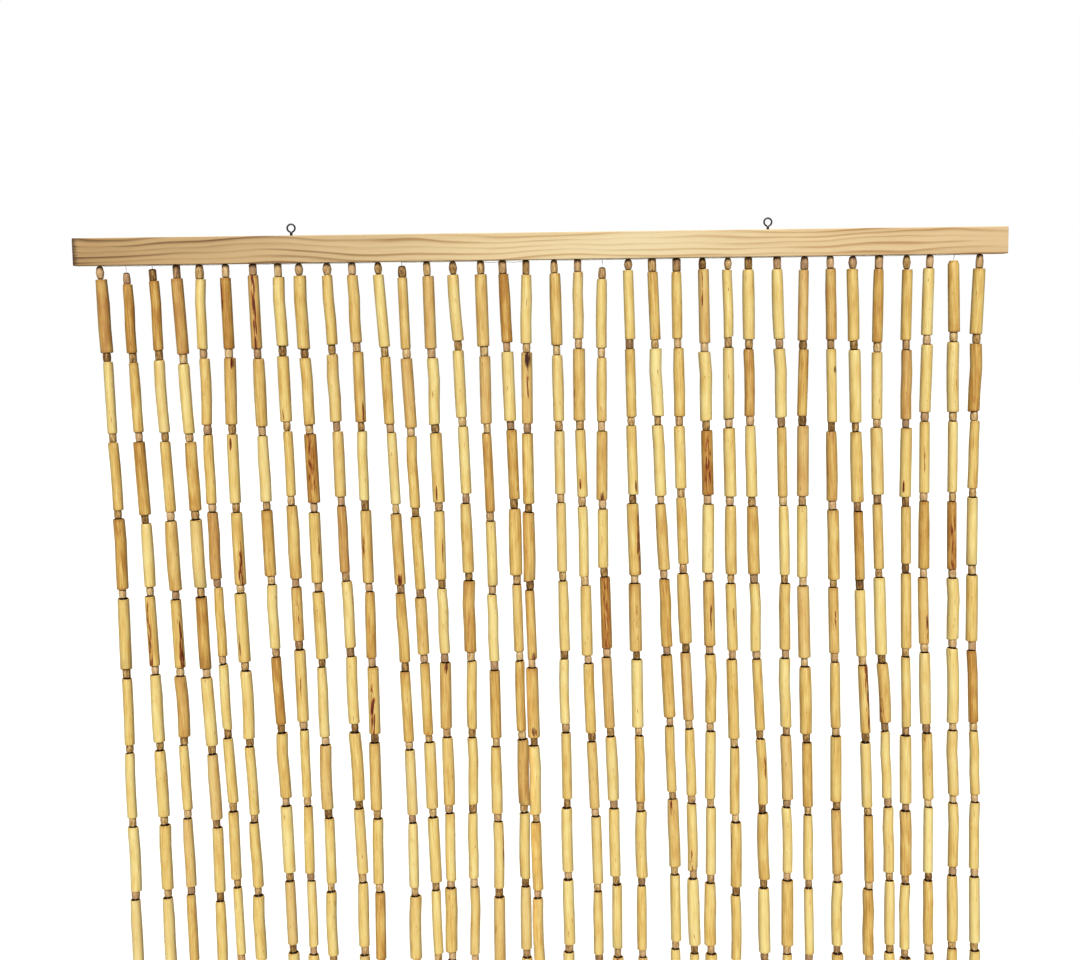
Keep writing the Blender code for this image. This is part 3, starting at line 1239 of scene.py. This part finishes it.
@dataclass(frozen=True)
class Strand:
    """One strand in mm: where it leaves the batten and how far it has swung to the right 250
    and 475 down, how far below the batten its first tube starts, how far behind the
    batten's middle it hangs 475 down, and the falls from tube to tube of the first six.
    """

    x: float
    swing_mid: float
    swing_low: float
    drop: float
    back: float
    falls: tuple[float, ...]


STRANDS = (
    Strand(-427, 7, 8, 13, 0, (79, 78, 75, 79, 80, 76)),
    Strand(-402, 8, 13, 18, 0, (75, 77, 80, 72, 79, 77)),
    Strand(-377, 8, 12, 15, 0, (76, 79, 78, 78, 77, 70)),
    Strand(-354, 9, 16, 13, 0, (82, 76, 76, 77, 81, 78)),
    Strand(-332, 4, 11, 14, 0, (76, 74, 76, 75, 77, 75)),
    Strand(-307, 2, 7, 13, 0, (77, 74, 77, 80, 78, 77)),
    Strand(-281, 6, 13, 11, 0, (80, 75, 73, 74, 73, 77)),
    Strand(-257, 6, 11, 13, 0, (76, 73, 73, 81, 63, 81)),
    Strand(-237, 8, 12, 12, 0, (79, 74, 77, 79, 76, 79)),
    Strand(-210, 8, 15, 12, 0, (76, 75, 73, 75, 76, 77)),
    Strand(-186, 7, 10, 12, 0, (74, 77, 78, 81, 76, 77)),
    Strand(-161, 12, 19, 12, 0, (79, 74, 80, 79, 79, 80)),
    Strand(-138, 8, 16, 15, 0, (78, 76, 79, 81, 66, 81)),
    Strand(-114, 7, 10, 14, 0, (79, 73, 77, 77, 75, 76)),
    Strand(-89, 9, 10, 13, 0, (73, 74, 76, 77, 81, 78)),
    Strand(-62, 5, 7, 13, 0, (79, 75, 87, 73, 77, 78)),
    Strand(-41, 8, 12, 13, -3.5, (75, 76, 78, 75, 77, 80)),
    Strand(-18, -1, 1, 14, 3.5, (75, 79, 78, 78, 79, 80)),
    Strand(9, 4, 6, 13, 0, (79, 74, 71, 78, 79, 75)),
    Strand(32, 2, 9, 12, 0, (74, 79, 76, 79, 79, 80)),
    Strand(56, -2, 4, 19, 0, (76, 72, 77, 68, 81, 81)),
    Strand(81, 3, 7, 11, 0, (76, 75, 77, 80, 77, 78)),
    Strand(104, 8, 16, 13, 0, (74, 75, 78, 75, 77, 73)),
    Strand(128, 4, 11, 13, 0, (74, 76, 71, 76, 80, 78)),
    Strand(153, 5, 7, 11, 0, (80, 77, 73, 77, 74, 79)),
    Strand(178, 2, 6, 12, 0, (75, 79, 77, 78, 77, 90)),
    Strand(198, 4, 12, 12, 0, (77, 75, 80, 77, 77, 82)),
    Strand(226, 7, 11, 12, 0, (77, 77, 78, 78, 76, 79)),
    Strand(253, -1, 4, 13, 0, (77, 75, 79, 81, 82, 78)),
    Strand(278, 4, 9, 12, 0, (78, 81, 78, 78, 76, 76)),
    Strand(300, 7, 17, 13, 0, (78, 81, 79, 79, 77, 79)),
    Strand(326, 1, 11, 13, 0, (81, 74, 76, 74, 87, 70)),
    Strand(353, 2, 5, 14, 0, (78, 77, 78, 67, 85, 81)),
    Strand(376, -3, 3, 13, 0, (74, 76, 79, 77, 76, 83)),
    Strand(400, 2, 6, 6, 0, (79, 78, 80, 77, 71, 85)),
    Strand(425, -3, 2, 14, 0, (73, 76, 76, 78, 77, 83)),
)


@dataclass(frozen=True)
class StrandRun:
    """Where one strand's tubes, beads and line lie, from the sizes that its solid has."""

    strand: Strand
    number: int
    underside: float
    seed: int = 36
    tube_count: int = 24
    tube_pitch: float = 77.0 * MM
    tube_diameters: tuple[float, float] = (9.6 * MM, 12.3 * MM)
    bead_heights: tuple[float, float] = (8.2 * MM, 9.6 * MM)
    top_bead_height: float = 10.8 * MM
    top_bead_drop: float = 14.5 * MM
    bead_diameters: tuple[float, float] = (6.9 * MM, 8.1 * MM)
    pitch_spread: float = 2.6 * MM
    tilt_spread: float = 0.8 * MM
    mid_depth: float = 0.250
    low_depth: float = 0.475
    fade: float = 0.150
    top_clear: float = 0.5 * MM
    bead_gap: float = 0.1 * MM
    bead_gap_growth: float = 0.17 * MM
    bead_gap_most: float = 1.0 * MM
    bead_tuck: float = 0.5 * MM

    def swing(self, depth: float) -> float:
        """Return how far the strand has swung to the right at a depth.

        A parabola runs through the two places that are known, and below the lower one the
        strand's slope dies away.

        Args:
            depth: How far below the batten.

        Returns:
            The distance.
        """
        mid = self.strand.swing_mid * MM
        low = self.strand.swing_low * MM
        curve = (low / self.low_depth - mid / self.mid_depth) / (self.low_depth - self.mid_depth)
        slope = mid / self.mid_depth - curve * self.mid_depth
        if depth <= self.low_depth:
            return slope * depth + curve * depth * depth
        end_slope = slope + 2.0 * curve * self.low_depth
        past = (depth - self.low_depth) / self.fade
        return low + end_slope * self.fade * (1.0 - math.exp(-past))

    def point(self, depth: float, shift_x: float = 0.0, shift_y: float = 0.0) -> Vector:
        """Return the strand's place at a depth.

        Args:
            depth: How far below the batten.
            shift_x: How far a tube's end is moved to the right.
            shift_y: How far it is moved back.

        Returns:
            The place.
        """
        x = self.strand.x * MM + self.swing(depth) + shift_x
        y = self.strand.back * MM * min(depth / self.low_depth, 1.0) + shift_y
        return Vector((x, y, self.underside - depth))

    def links(self) -> tuple[list[Link], list[Link]]:
        """Work out the tubes and beads with the draws that the solid is made with.

        Returns:
            The tubes and the beads, both from the top down.
        """
        rng = random.Random(self.seed * 100 + self.number)
        tubes = []
        beads = []
        bead = rng.uniform(*self.bead_diameters)
        top = self.strand.drop * MM
        if top > self.bead_heights[0]:
            loose = top > self.top_bead_drop
            bead_top = top - self.top_bead_height if loose else self.top_clear
            foot = self.point(top - self.bead_gap)
            beads.append(Link(foot, self.point(bead_top), bead))
        for index in range(self.tube_count):
            pitch = self.tube_pitch + rng.uniform(-self.pitch_spread, self.pitch_spread)
            if index < len(self.strand.falls):
                pitch = self.strand.falls[index] * MM
            width = rng.uniform(*self.tube_diameters)
            bead = rng.uniform(*self.bead_diameters)
            height = rng.uniform(*self.bead_heights)
            tilts = [rng.uniform(-self.tilt_spread, self.tilt_spread) for _ in range(4)]
            bottom = top + pitch - height
            head = self.point(top, tilts[0], tilts[1])
            tubes.append(Link(self.point(bottom, tilts[2], tilts[3]), head, width))
            top += pitch
            gap = min(self.bead_gap + self.bead_gap_growth * index, self.bead_gap_most)
            last = index == self.tube_count - 1
            foot = self.point(top - (0.0 if last else gap))
            beads.append(Link(foot, self.point(bottom - self.bead_tuck), bead))
        return tubes, beads


@dataclass(frozen=True)
class StrandGroup:
    """The strands on one length of line, with their tubes, beads and line.

    A pair of numbers is the least and the most of a random draw, or the mean and the
    spread of a normal one.
    """

    number: int
    batten_low: Vector
    tube_patterns: list[bpy.types.Object]
    bead_patterns: list[bpy.types.Object]
    per_group: int = 6
    first_seed: int = 500
    tube_weights: tuple[int, ...] = (7, 5, 4, 4, 3, 2, 3, 0)
    tube_oval: float = 0.04
    plain_tone: tuple[float, float] = (0.36, 0.14)
    plain_tone_most: float = 0.75
    row_tone_spread: float = 0.06
    plain_blush: tuple[float, float] = (-0.02, 0.12)
    veined_share: float = 0.10
    veins: tuple[float, float] = (0.4, 0.8)
    across_mm: tuple[float, float] = (0.8, 3.5)
    along_mm: tuple[float, float] = (8.0, 40.0)
    aside_mm: float = 5.0
    bead_weights: tuple[int, ...] = (4, 4, 2, 0)
    first_bead_weights: tuple[int, ...] = (2, 2, 2, 2)
    bead_tone: tuple[float, float] = (0.18, 0.92)
    bead_blushes: tuple[float, ...] = (0.0, 0.0, 0.2, 0.4)
    line_radius: float = 0.3 * MM
    line_below: float = 0.4 * MM
    slack: float = 0.3 * MM
    loose_slack: float = 1.5 * MM
    loose_from: float = -0.07
    loose_to: float = 0.0
    sag_steps: int = 4
    line_end_share: float = 0.2

    def runs(self) -> list[StrandRun]:
        """Return the group's strands.

        Returns:
            The strands, left to right.
        """
        first = (self.number - 1) * self.per_group
        rows = STRANDS[first:first + self.per_group]
        return [StrandRun(row, first + at, self.batten_low.z) for at, row in enumerate(rows)]

    def build(self) -> list[bpy.types.Object]:
        """Make the group's tubes, beads and line, and let them stand for its solid.

        Returns:
            The three pieces.
        """
        runs = self.runs()
        tubes = []
        beads = []
        for run in runs:
            rng = random.Random(run.number + self.first_seed)
            tube_links, bead_links = run.links()
            for row, link in enumerate(tube_links, start=1):
                tubes.append(self.tube(link, run.number + 1, row, rng))
            for link in bead_links:
                beads.append(self.bead(link, link is bead_links[0], rng))
        pieces = [
            join(tubes, f"cane_tubes_{self.number}"),
            join(beads, f"beads_{self.number}"),
            self.line(runs),
        ]
        for piece in pieces:
            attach(piece, ROOT)
            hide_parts(f"strands_{self.number}")
        return pieces

    def tube(self, link: Link, strand: int, row: int, rng: random.Random) -> bpy.types.Object:
        """Place one cane tube, with its tone and marks.

        Args:
            link: Where it lies.
            strand: Its strand, counted from one.
            row: Its place down the strand, counted from one.
            rng: The strand's random draws.

        Returns:
            The tube.
        """
        radius, length = TubeForm.radius_mm, TubeForm.length_mm
        pattern = rng.choices(self.tube_patterns, weights=self.tube_weights)[0]
        turn = rng.uniform(0.0, 2 * math.pi)
        oval = rng.uniform(-self.tube_oval, self.tube_oval)
        tone = min(max(rng.gauss(*self.plain_tone), 0.0), self.plain_tone_most)
        for tones in TONE_ROWS[row - 1:row]:
            tone = tones.tone(strand, tone)
            tone += rng.uniform(-self.row_tone_spread, self.row_tone_spread)
        blush = max(rng.gauss(*self.plain_blush), 0.0)
        seed = rng.random()
        veins = rng.uniform(*self.veins) if rng.random() < self.veined_share else 0.0
        dark = (veins, 0.0, 1.0)
        reach = (1 / rng.uniform(*self.across_mm), INWARD_REACH, 1 / rng.uniform(*self.along_mm))
        spot = (rng.uniform(-self.aside_mm, self.aside_mm), -radius, rng.uniform(0.0, length))
        noted = [note for note in NOTED_TUBES if (note.strand, note.tube) == (strand, row)]
        for note in noted:
            pattern = self.tube_patterns[-1 if note.mark is Mark.DOMED else 0]
            turn = 0.0
            blemish = note.mark.value
            tone, blush = blemish.tone, blemish.blush
            dark, reach = blemish.dark, blemish.reach
            spot = (note.aside * radius, -radius, note.high * length)
        notes = {"tint": (tone, blush, seed), "mark": dark, "spot": spot, "reach": reach}
        return place_copy(pattern, link.standing(turn, oval, radius, length), notes)

    def bead(self, link: Link, first: bool, rng: random.Random) -> bpy.types.Object:
        """Place one bead.

        Args:
            link: Where it lies.
            first: Whether it is the strand's first bead, which is the more often oval.
            rng: The strand's random draws.

        Returns:
            The bead.
        """
        weights = self.first_bead_weights if first else self.bead_weights
        pattern = rng.choices(self.bead_patterns, weights=weights)[0]
        tone = rng.uniform(*self.bead_tone)
        blush = rng.choice(self.bead_blushes)
        turn = rng.uniform(0.0, 2 * math.pi)
        matrix = link.standing(turn, 0.0, BeadForm.radius_mm, BeadForm.height_mm)
        return place_copy(pattern, matrix, {"tint": (tone, blush, rng.random())})

    def paths(self, runs: list[StrandRun]) -> list[list[Vector]]:
        """Return the line's paths: along the batten's underside, and down each strand.

        Args:
            runs: The group's strands.

        Returns:
            The corners of each path.
        """
        level = self.batten_low.z - self.line_below
        roots = [Vector((run.strand.x * MM, 0.0, level)) for run in runs]
        along = [roots[0]]
        for left, right in zip(roots, roots[1:]):
            loose = left.x > self.loose_from and right.x < self.loose_to
            drop = self.loose_slack if loose else self.slack
            for step in range(1, self.sag_steps + 1):
                share = step / self.sag_steps
                sag = 4 * drop * share * (1 - share)
                along.append(left.lerp(right, share) - Vector((0.0, 0.0, sag)))
        paths = [along]
        for run, root in zip(runs, roots):
            tubes, beads = run.links()
            down = [root]
            for tube in tubes:
                down += [tube.head, tube.foot]
            down.append(beads[-1].foot.lerp(beads[-1].head, self.line_end_share))
            paths.append(down)
        return paths

    def line(self, runs: list[StrandRun]) -> bpy.types.Object:
        """Draw the group's line.

        Args:
            runs: The group's strands.

        Returns:
            The line as a mesh tube.
        """
        curve = bpy.data.curves.new(f"line_{self.number}", "CURVE")
        curve.dimensions = "3D"
        curve.bevel_depth = self.line_radius
        curve.bevel_resolution = 1
        curve.use_fill_caps = True
        for path in self.paths(runs):
            spline = curve.splines.new("POLY")
            spline.points.add(len(path) - 1)
            for corner, place in zip(spline.points, path):
                corner.co = (*place, 1.0)
        line = bpy.data.objects.new(curve.name, curve)
        bpy.context.scene.collection.objects.link(line)
        coat(line, ClearLine())
        focus(line)
        bpy.ops.object.convert(target="MESH")
        bpy.ops.object.shade_smooth()
        return line


@dataclass(frozen=True)
class Batten:
    """The planed lath across the top, drilled for the two screw eyes."""

    low: Vector
    high: Vector
    eye_xs: tuple[float, ...]
    edge: float = 0.9 * MM
    edge_steps: int = 3
    lengths: int = 8
    hole_radius: float = 1.1 * MM
    hole_depth: float = 12.3 * MM
    hole_sides: int = 16
    smooth_angle: float = math.radians(40)

    def build(self) -> bpy.types.Object:
        """Model the lath from a box.

        Returns:
            The batten.
        """
        size = self.high - self.low
        middle = (self.low + self.high) / 2
        deselect()
        bpy.ops.mesh.primitive_cube_add(size=1.0, location=middle)
        batten = bpy.context.object
        batten.scale = size
        batten.name = "pine_batten"
        settle(batten)
        bpy.ops.object.mode_set(mode="EDIT")
        bpy.ops.mesh.select_all(action="SELECT")
        bpy.ops.mesh.bevel(offset=self.edge, segments=self.edge_steps)
        for cut in range(1, self.lengths):
            x = self.low.x + size.x * cut / self.lengths
            cut_across(Vector((x, middle.y, middle.z)), (1.0, 0.0, 0.0))
        bpy.ops.object.mode_set(mode="OBJECT")
        for x in self.eye_xs:
            self.drill(batten, x)
        bpy.ops.object.shade_smooth_by_angle(angle=self.smooth_angle)
        flat = batten.modifiers.new("flat_faces", "WEIGHTED_NORMAL")
        flat.keep_sharp = True
        bpy.ops.object.modifier_apply(modifier=flat.name)
        coat(batten, PlanedPine())
        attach(batten, ROOT)
        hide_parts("batten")
        return batten

    def drill(self, batten: bpy.types.Object, x: float) -> None:
        """Drill the hole for one eye's shank.

        Args:
            batten: The lath.
            x: Where the hole is along it.
        """
        foot = Vector((x, 0.0, self.high.z - self.hole_depth))
        bit = add_cylinder(self.hole_sides, self.hole_radius, 2 * self.hole_depth, foot)
        focus(batten)
        cut = batten.modifiers.new("hole", "BOOLEAN")
        cut.operation = "DIFFERENCE"
        cut.solver = "EXACT"
        cut.object = bit
        bpy.ops.object.modifier_apply(modifier=cut.name)
        bpy.data.objects.remove(bit)


@dataclass(frozen=True)
class ScrewEye:
    """A screw eye bent from wire: a ring that closes on its shank like a drop."""

    side: str
    low: Vector
    high: Vector
    batten_top: float
    opening: float
    wire_radius: float = 0.8 * MM
    wire_sides: int = 12
    ring_steps: int = 28
    close_share: float = 0.72
    close_drop: float = 1.0 * MM
    end_share: float = 0.8
    neck_top: float = -4.0 * MM
    neck_radius: float = 1.3 * MM
    neck_rise: float = 0.3 * MM
    shank_share: float = 0.95
    thread_pitch: float = 1.3 * MM
    thread_share: float = 0.76
    point_share: float = 0.35
    smooth_angle: float = math.radians(45)

    def build(self) -> bpy.types.Object:
        """Join the ring to its shank, and let them stand for the eye's solid.

        Returns:
            The eye.
        """
        x = (self.low.x + self.high.x) / 2
        eye = join([self.ring(x), self.shank(x)], f"screw_eye_{self.side}")
        bpy.ops.object.shade_smooth_by_angle(angle=self.smooth_angle)
        coat(eye, DarkWire())
        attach(eye, ROOT)
        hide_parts(f"eye_{self.side}")
        return eye

    def ring(self, x: float) -> bpy.types.Object:
        """Spin the ring from the wire's round section, then bend its two ends in.

        Args:
            x: Where the eye stands along the batten.

        Returns:
            The ring.
        """
        ring_radius = (self.high.x - self.low.x) / 2 - self.wire_radius
        start = -math.pi / 2 + self.opening / 2
        aside, up = ring_radius * math.cos(start), ring_radius * math.sin(start)
        deselect()
        bpy.ops.mesh.primitive_circle_add(
            vertices=self.wire_sides,
            radius=self.wire_radius,
            fill_type="NGON",
            location=(x + aside, 0.0, up),
            rotation=(0.0, -start, 0.0),
        )
        ring = settle(bpy.context.object)
        bpy.ops.object.mode_set(mode="EDIT")
        bpy.ops.mesh.select_all(action="SELECT")
        bpy.ops.mesh.spin(
            steps=self.ring_steps,
            angle=2 * math.pi - self.opening,
            center=(x, 0.0, 0.0),
            axis=(0.0, 1.0, 0.0),
        )
        for side in (-1.0, 1.0):
            end = Vector((x + side * aside, 0.0, up))
            pick(
                ring,
                Part.FACE,
                lambda middle, normal: (middle - end).length < 0.2 * self.wire_radius,
            )
            bend = (-side * self.close_share * aside, 0.0, -self.close_drop)
            bpy.ops.mesh.extrude_region_move(TRANSFORM_OT_translate={"value": bend})
            bpy.ops.transform.resize(value=(self.end_share,) * 3)
        bpy.ops.mesh.select_all(action="SELECT")
        bpy.ops.mesh.normals_make_consistent(inside=False)
        bpy.ops.object.mode_set(mode="OBJECT")
        return ring

    def shank(self, x: float) -> bpy.types.Object:
        """Turn the shank: a plain neck over a ridged, pointed length that is in the wood.

        Args:
            x: Where the eye stands along the batten.

        Returns:
            The shank.
        """
        radius = self.shank_share * self.wire_radius
        foot = Vector((x, 0.0, self.low.z))
        shank = add_cylinder(self.wire_sides, radius, self.neck_top - self.low.z, foot)
        bpy.ops.object.mode_set(mode="EDIT")
        ridges = int((self.batten_top - self.low.z) / self.thread_pitch)
        for cut in range(2 * ridges):
            height = self.batten_top - (cut + 0.5) * self.thread_pitch / 2
            cut_across(Vector((x, 0.0, height)), UP)
            if cut % 2:
                squeeze(self.thread_share, x)
        pick(shank, Part.VERT, lambda middle, normal: middle.z < self.low.z + NEAR)
        squeeze(self.point_share, x)
        cut_across(Vector((x, 0.0, self.batten_top + self.neck_rise)), UP)
        pick(shank, Part.VERT, lambda middle, normal: middle.z > self.batten_top)
        squeeze(self.neck_radius / self.wire_radius, x)
        bpy.ops.object.mode_set(mode="OBJECT")
        return shank


@dataclass(frozen=True)
class Studio:
    """Pale floor, soft light from the left front, from above and behind, and the camera."""

    floor_gap: float = 0.03
    floor_size: float = 60.0
    floor_cells: int = 12
    key_strength: float = 3.05
    key_height: float = math.radians(30)
    key_aside: float = math.radians(-5)
    fill_strength: float = 0.55
    fill_height: float = math.radians(-26)
    fill_aside: float = math.radians(8)
    top_strength: float = 2.3
    top_height: float = math.radians(75)
    rear_strength: float = 1.5
    rear_height: float = math.radians(16)
    rear_aside: float = math.radians(180)
    sun_spread: float = math.radians(22)
    sky_light: float = 0.045
    sky_seen: float = 1.0
    print_gamma: float = 0.8
    camera_place: Triple = (-0.053, -1.5, -0.0773)
    camera_yaw: float = math.radians(-1.74)
    camera_pitch: float = math.radians(-6.47)
    camera_roll: float = math.radians(0.825)
    focal_pixels: float = 1537.0
    sensor_mm: float = 36.0

    def build(self, lowest: float) -> None:
        """Set up the floor, the light and the camera.

        Args:
            lowest: The height of the curtain's lowest point.
        """
        self.floor(lowest - self.floor_gap)
        self.suns()
        self.sky()
        self.camera()

    def floor(self, height: float) -> None:
        """Lay a wide floor that throws no light back up, and lets the low fill through.

        Args:
            height: The floor's height.
        """
        deselect()
        bpy.ops.mesh.primitive_grid_add(
            x_subdivisions=self.floor_cells,
            y_subdivisions=self.floor_cells,
            size=self.floor_size,
            location=(0.0, 0.0, height),
        )
        floor = settle(bpy.context.object)
        floor.name = "studio_floor"
        coat(floor, PaleFloor())
        floor.visible_diffuse = False
        floor.visible_shadow = False

    def suns(self) -> None:
        """Add four wide soft suns, of which only the key shines in glossy faces."""
        for name, strength, height, aside in (
            ("soft_key", self.key_strength, self.key_height, self.key_aside),
            ("soft_fill", self.fill_strength, self.fill_height, self.fill_aside),
            ("soft_top", self.top_strength, self.top_height, self.rear_aside),
            ("soft_rear", self.rear_strength, self.rear_height, self.rear_aside),
        ):
            sun = bpy.data.lights.new(name, "SUN")
            sun.energy = strength
            sun.angle = self.sun_spread
            lamp = bpy.data.objects.new(name, sun)
            bpy.context.scene.collection.objects.link(lamp)
            lamp.rotation_euler = (math.pi / 2 - height, 0.0, aside)
            lamp.visible_glossy = name == "soft_key"

    def sky(self) -> None:
        """Add a sky that looks white and gives a gentle fill."""
        world = bpy.data.worlds.new("studio_sky")
        bpy.context.scene.world = world
        world.use_nodes = True
        tree = world.node_tree
        background = tree.nodes["Background"]
        seen = add_node(tree, "LightPath").outputs["Is Camera Ray"]
        strengths = {"To Min": self.sky_light, "To Max": self.sky_seen}
        strength = add_node(tree, "MapRange", strengths, {"Value": seen})
        background.inputs["Color"].default_value = linear("#FFFFFF")
        tree.links.new(strength.outputs[0], background.inputs["Strength"])
        view = bpy.context.scene.view_settings
        view.view_transform = "Standard"
        view.gamma = self.print_gamma

    def camera(self) -> None:
        """Aim the camera as in the photograph."""
        data = bpy.data.cameras.new("camera")
        data.sensor_width = self.sensor_mm
        data.lens = self.focal_pixels * self.sensor_mm / IMAGE_WIDTH
        camera = bpy.data.objects.new("camera", data)
        bpy.context.scene.collection.objects.link(camera)
        turn = (
            Matrix.Rotation(self.camera_yaw, 4, "Z")
            @ Matrix.Rotation(self.camera_pitch, 4, "X")
            @ Matrix.Rotation(self.camera_roll, 4, "Y")
            @ Matrix.Rotation(math.pi / 2, 4, "X")
        )
        camera.matrix_world = Matrix.Translation(self.camera_place) @ turn
        bpy.context.scene.camera = camera


# How far each eye's ring is open over its shank.
EYE_OPENINGS = {"left": math.radians(30), "right": math.radians(68)}

TUBE_FORMS = (
    TubeForm("straight", taper=0.98, shoulder=0.98),
    TubeForm("bowed", (0.7, 0.7), head_slant=math.radians(-4), shoulder=0.94),
    TubeForm("bent", (0.2, 1.0), foot_slant=math.radians(6), shoulder=0.97),
    TubeForm("wavy", (0.45, -0.35), 0.95, head_slant=math.radians(6), shoulder=0.96),
    TubeForm("tapered", (-0.3, 0.2), 0.9),
    TubeForm("slant_cut", (0.3, 0.0), 0.97, math.radians(14), math.radians(-6)),
    TubeForm("stout", (-0.4, -0.2), 0.96, swell=1.04, shoulder=0.93),
    TubeForm("domed", taper=0.96, shoulder=0.74),
)

BEAD_FORMS = (
    BeadForm("barrel", 1.06, 0.95, 0.95),
    BeadForm("plain", 1.01, round_mm=0.7),
    BeadForm("tapered", 1.04, head=0.84),
    BeadForm("oval", 1.12, 0.78, 0.78, 1.3),
)


def main() -> None:
    """Build the curtain from the batten down, then the studio round it."""
    logging.basicConfig(level=logging.INFO, format="%(name)s: %(message)s")
    low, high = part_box("batten")
    eyes = {side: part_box(f"eye_{side}") for side in ("left", "right")}
    eye_xs = tuple((box[0].x + box[1].x) / 2 for box in eyes.values())
    pieces = [Batten(low, high, eye_xs).build()]
    for side, (eye_low, eye_high) in eyes.items():
        pieces.append(ScrewEye(side, eye_low, eye_high, high.z, EYE_OPENINGS[side]).build())
    tube_patterns = [form.model() for form in TUBE_FORMS]
    bead_patterns = [form.model() for form in BEAD_FORMS]
    for number in range(1, len(STRANDS) // StrandGroup.per_group + 1):
        pieces += StrandGroup(number, low, tube_patterns, bead_patterns).build()
    for piece in pieces:
        log.info("%s: %d faces", piece.name, len(piece.data.polygons))
    for pattern in tube_patterns + bead_patterns:
        bpy.data.objects.remove(pattern)
    Studio().build(CAD_BOX[0].z)


if __name__ == "__main__":
    main()
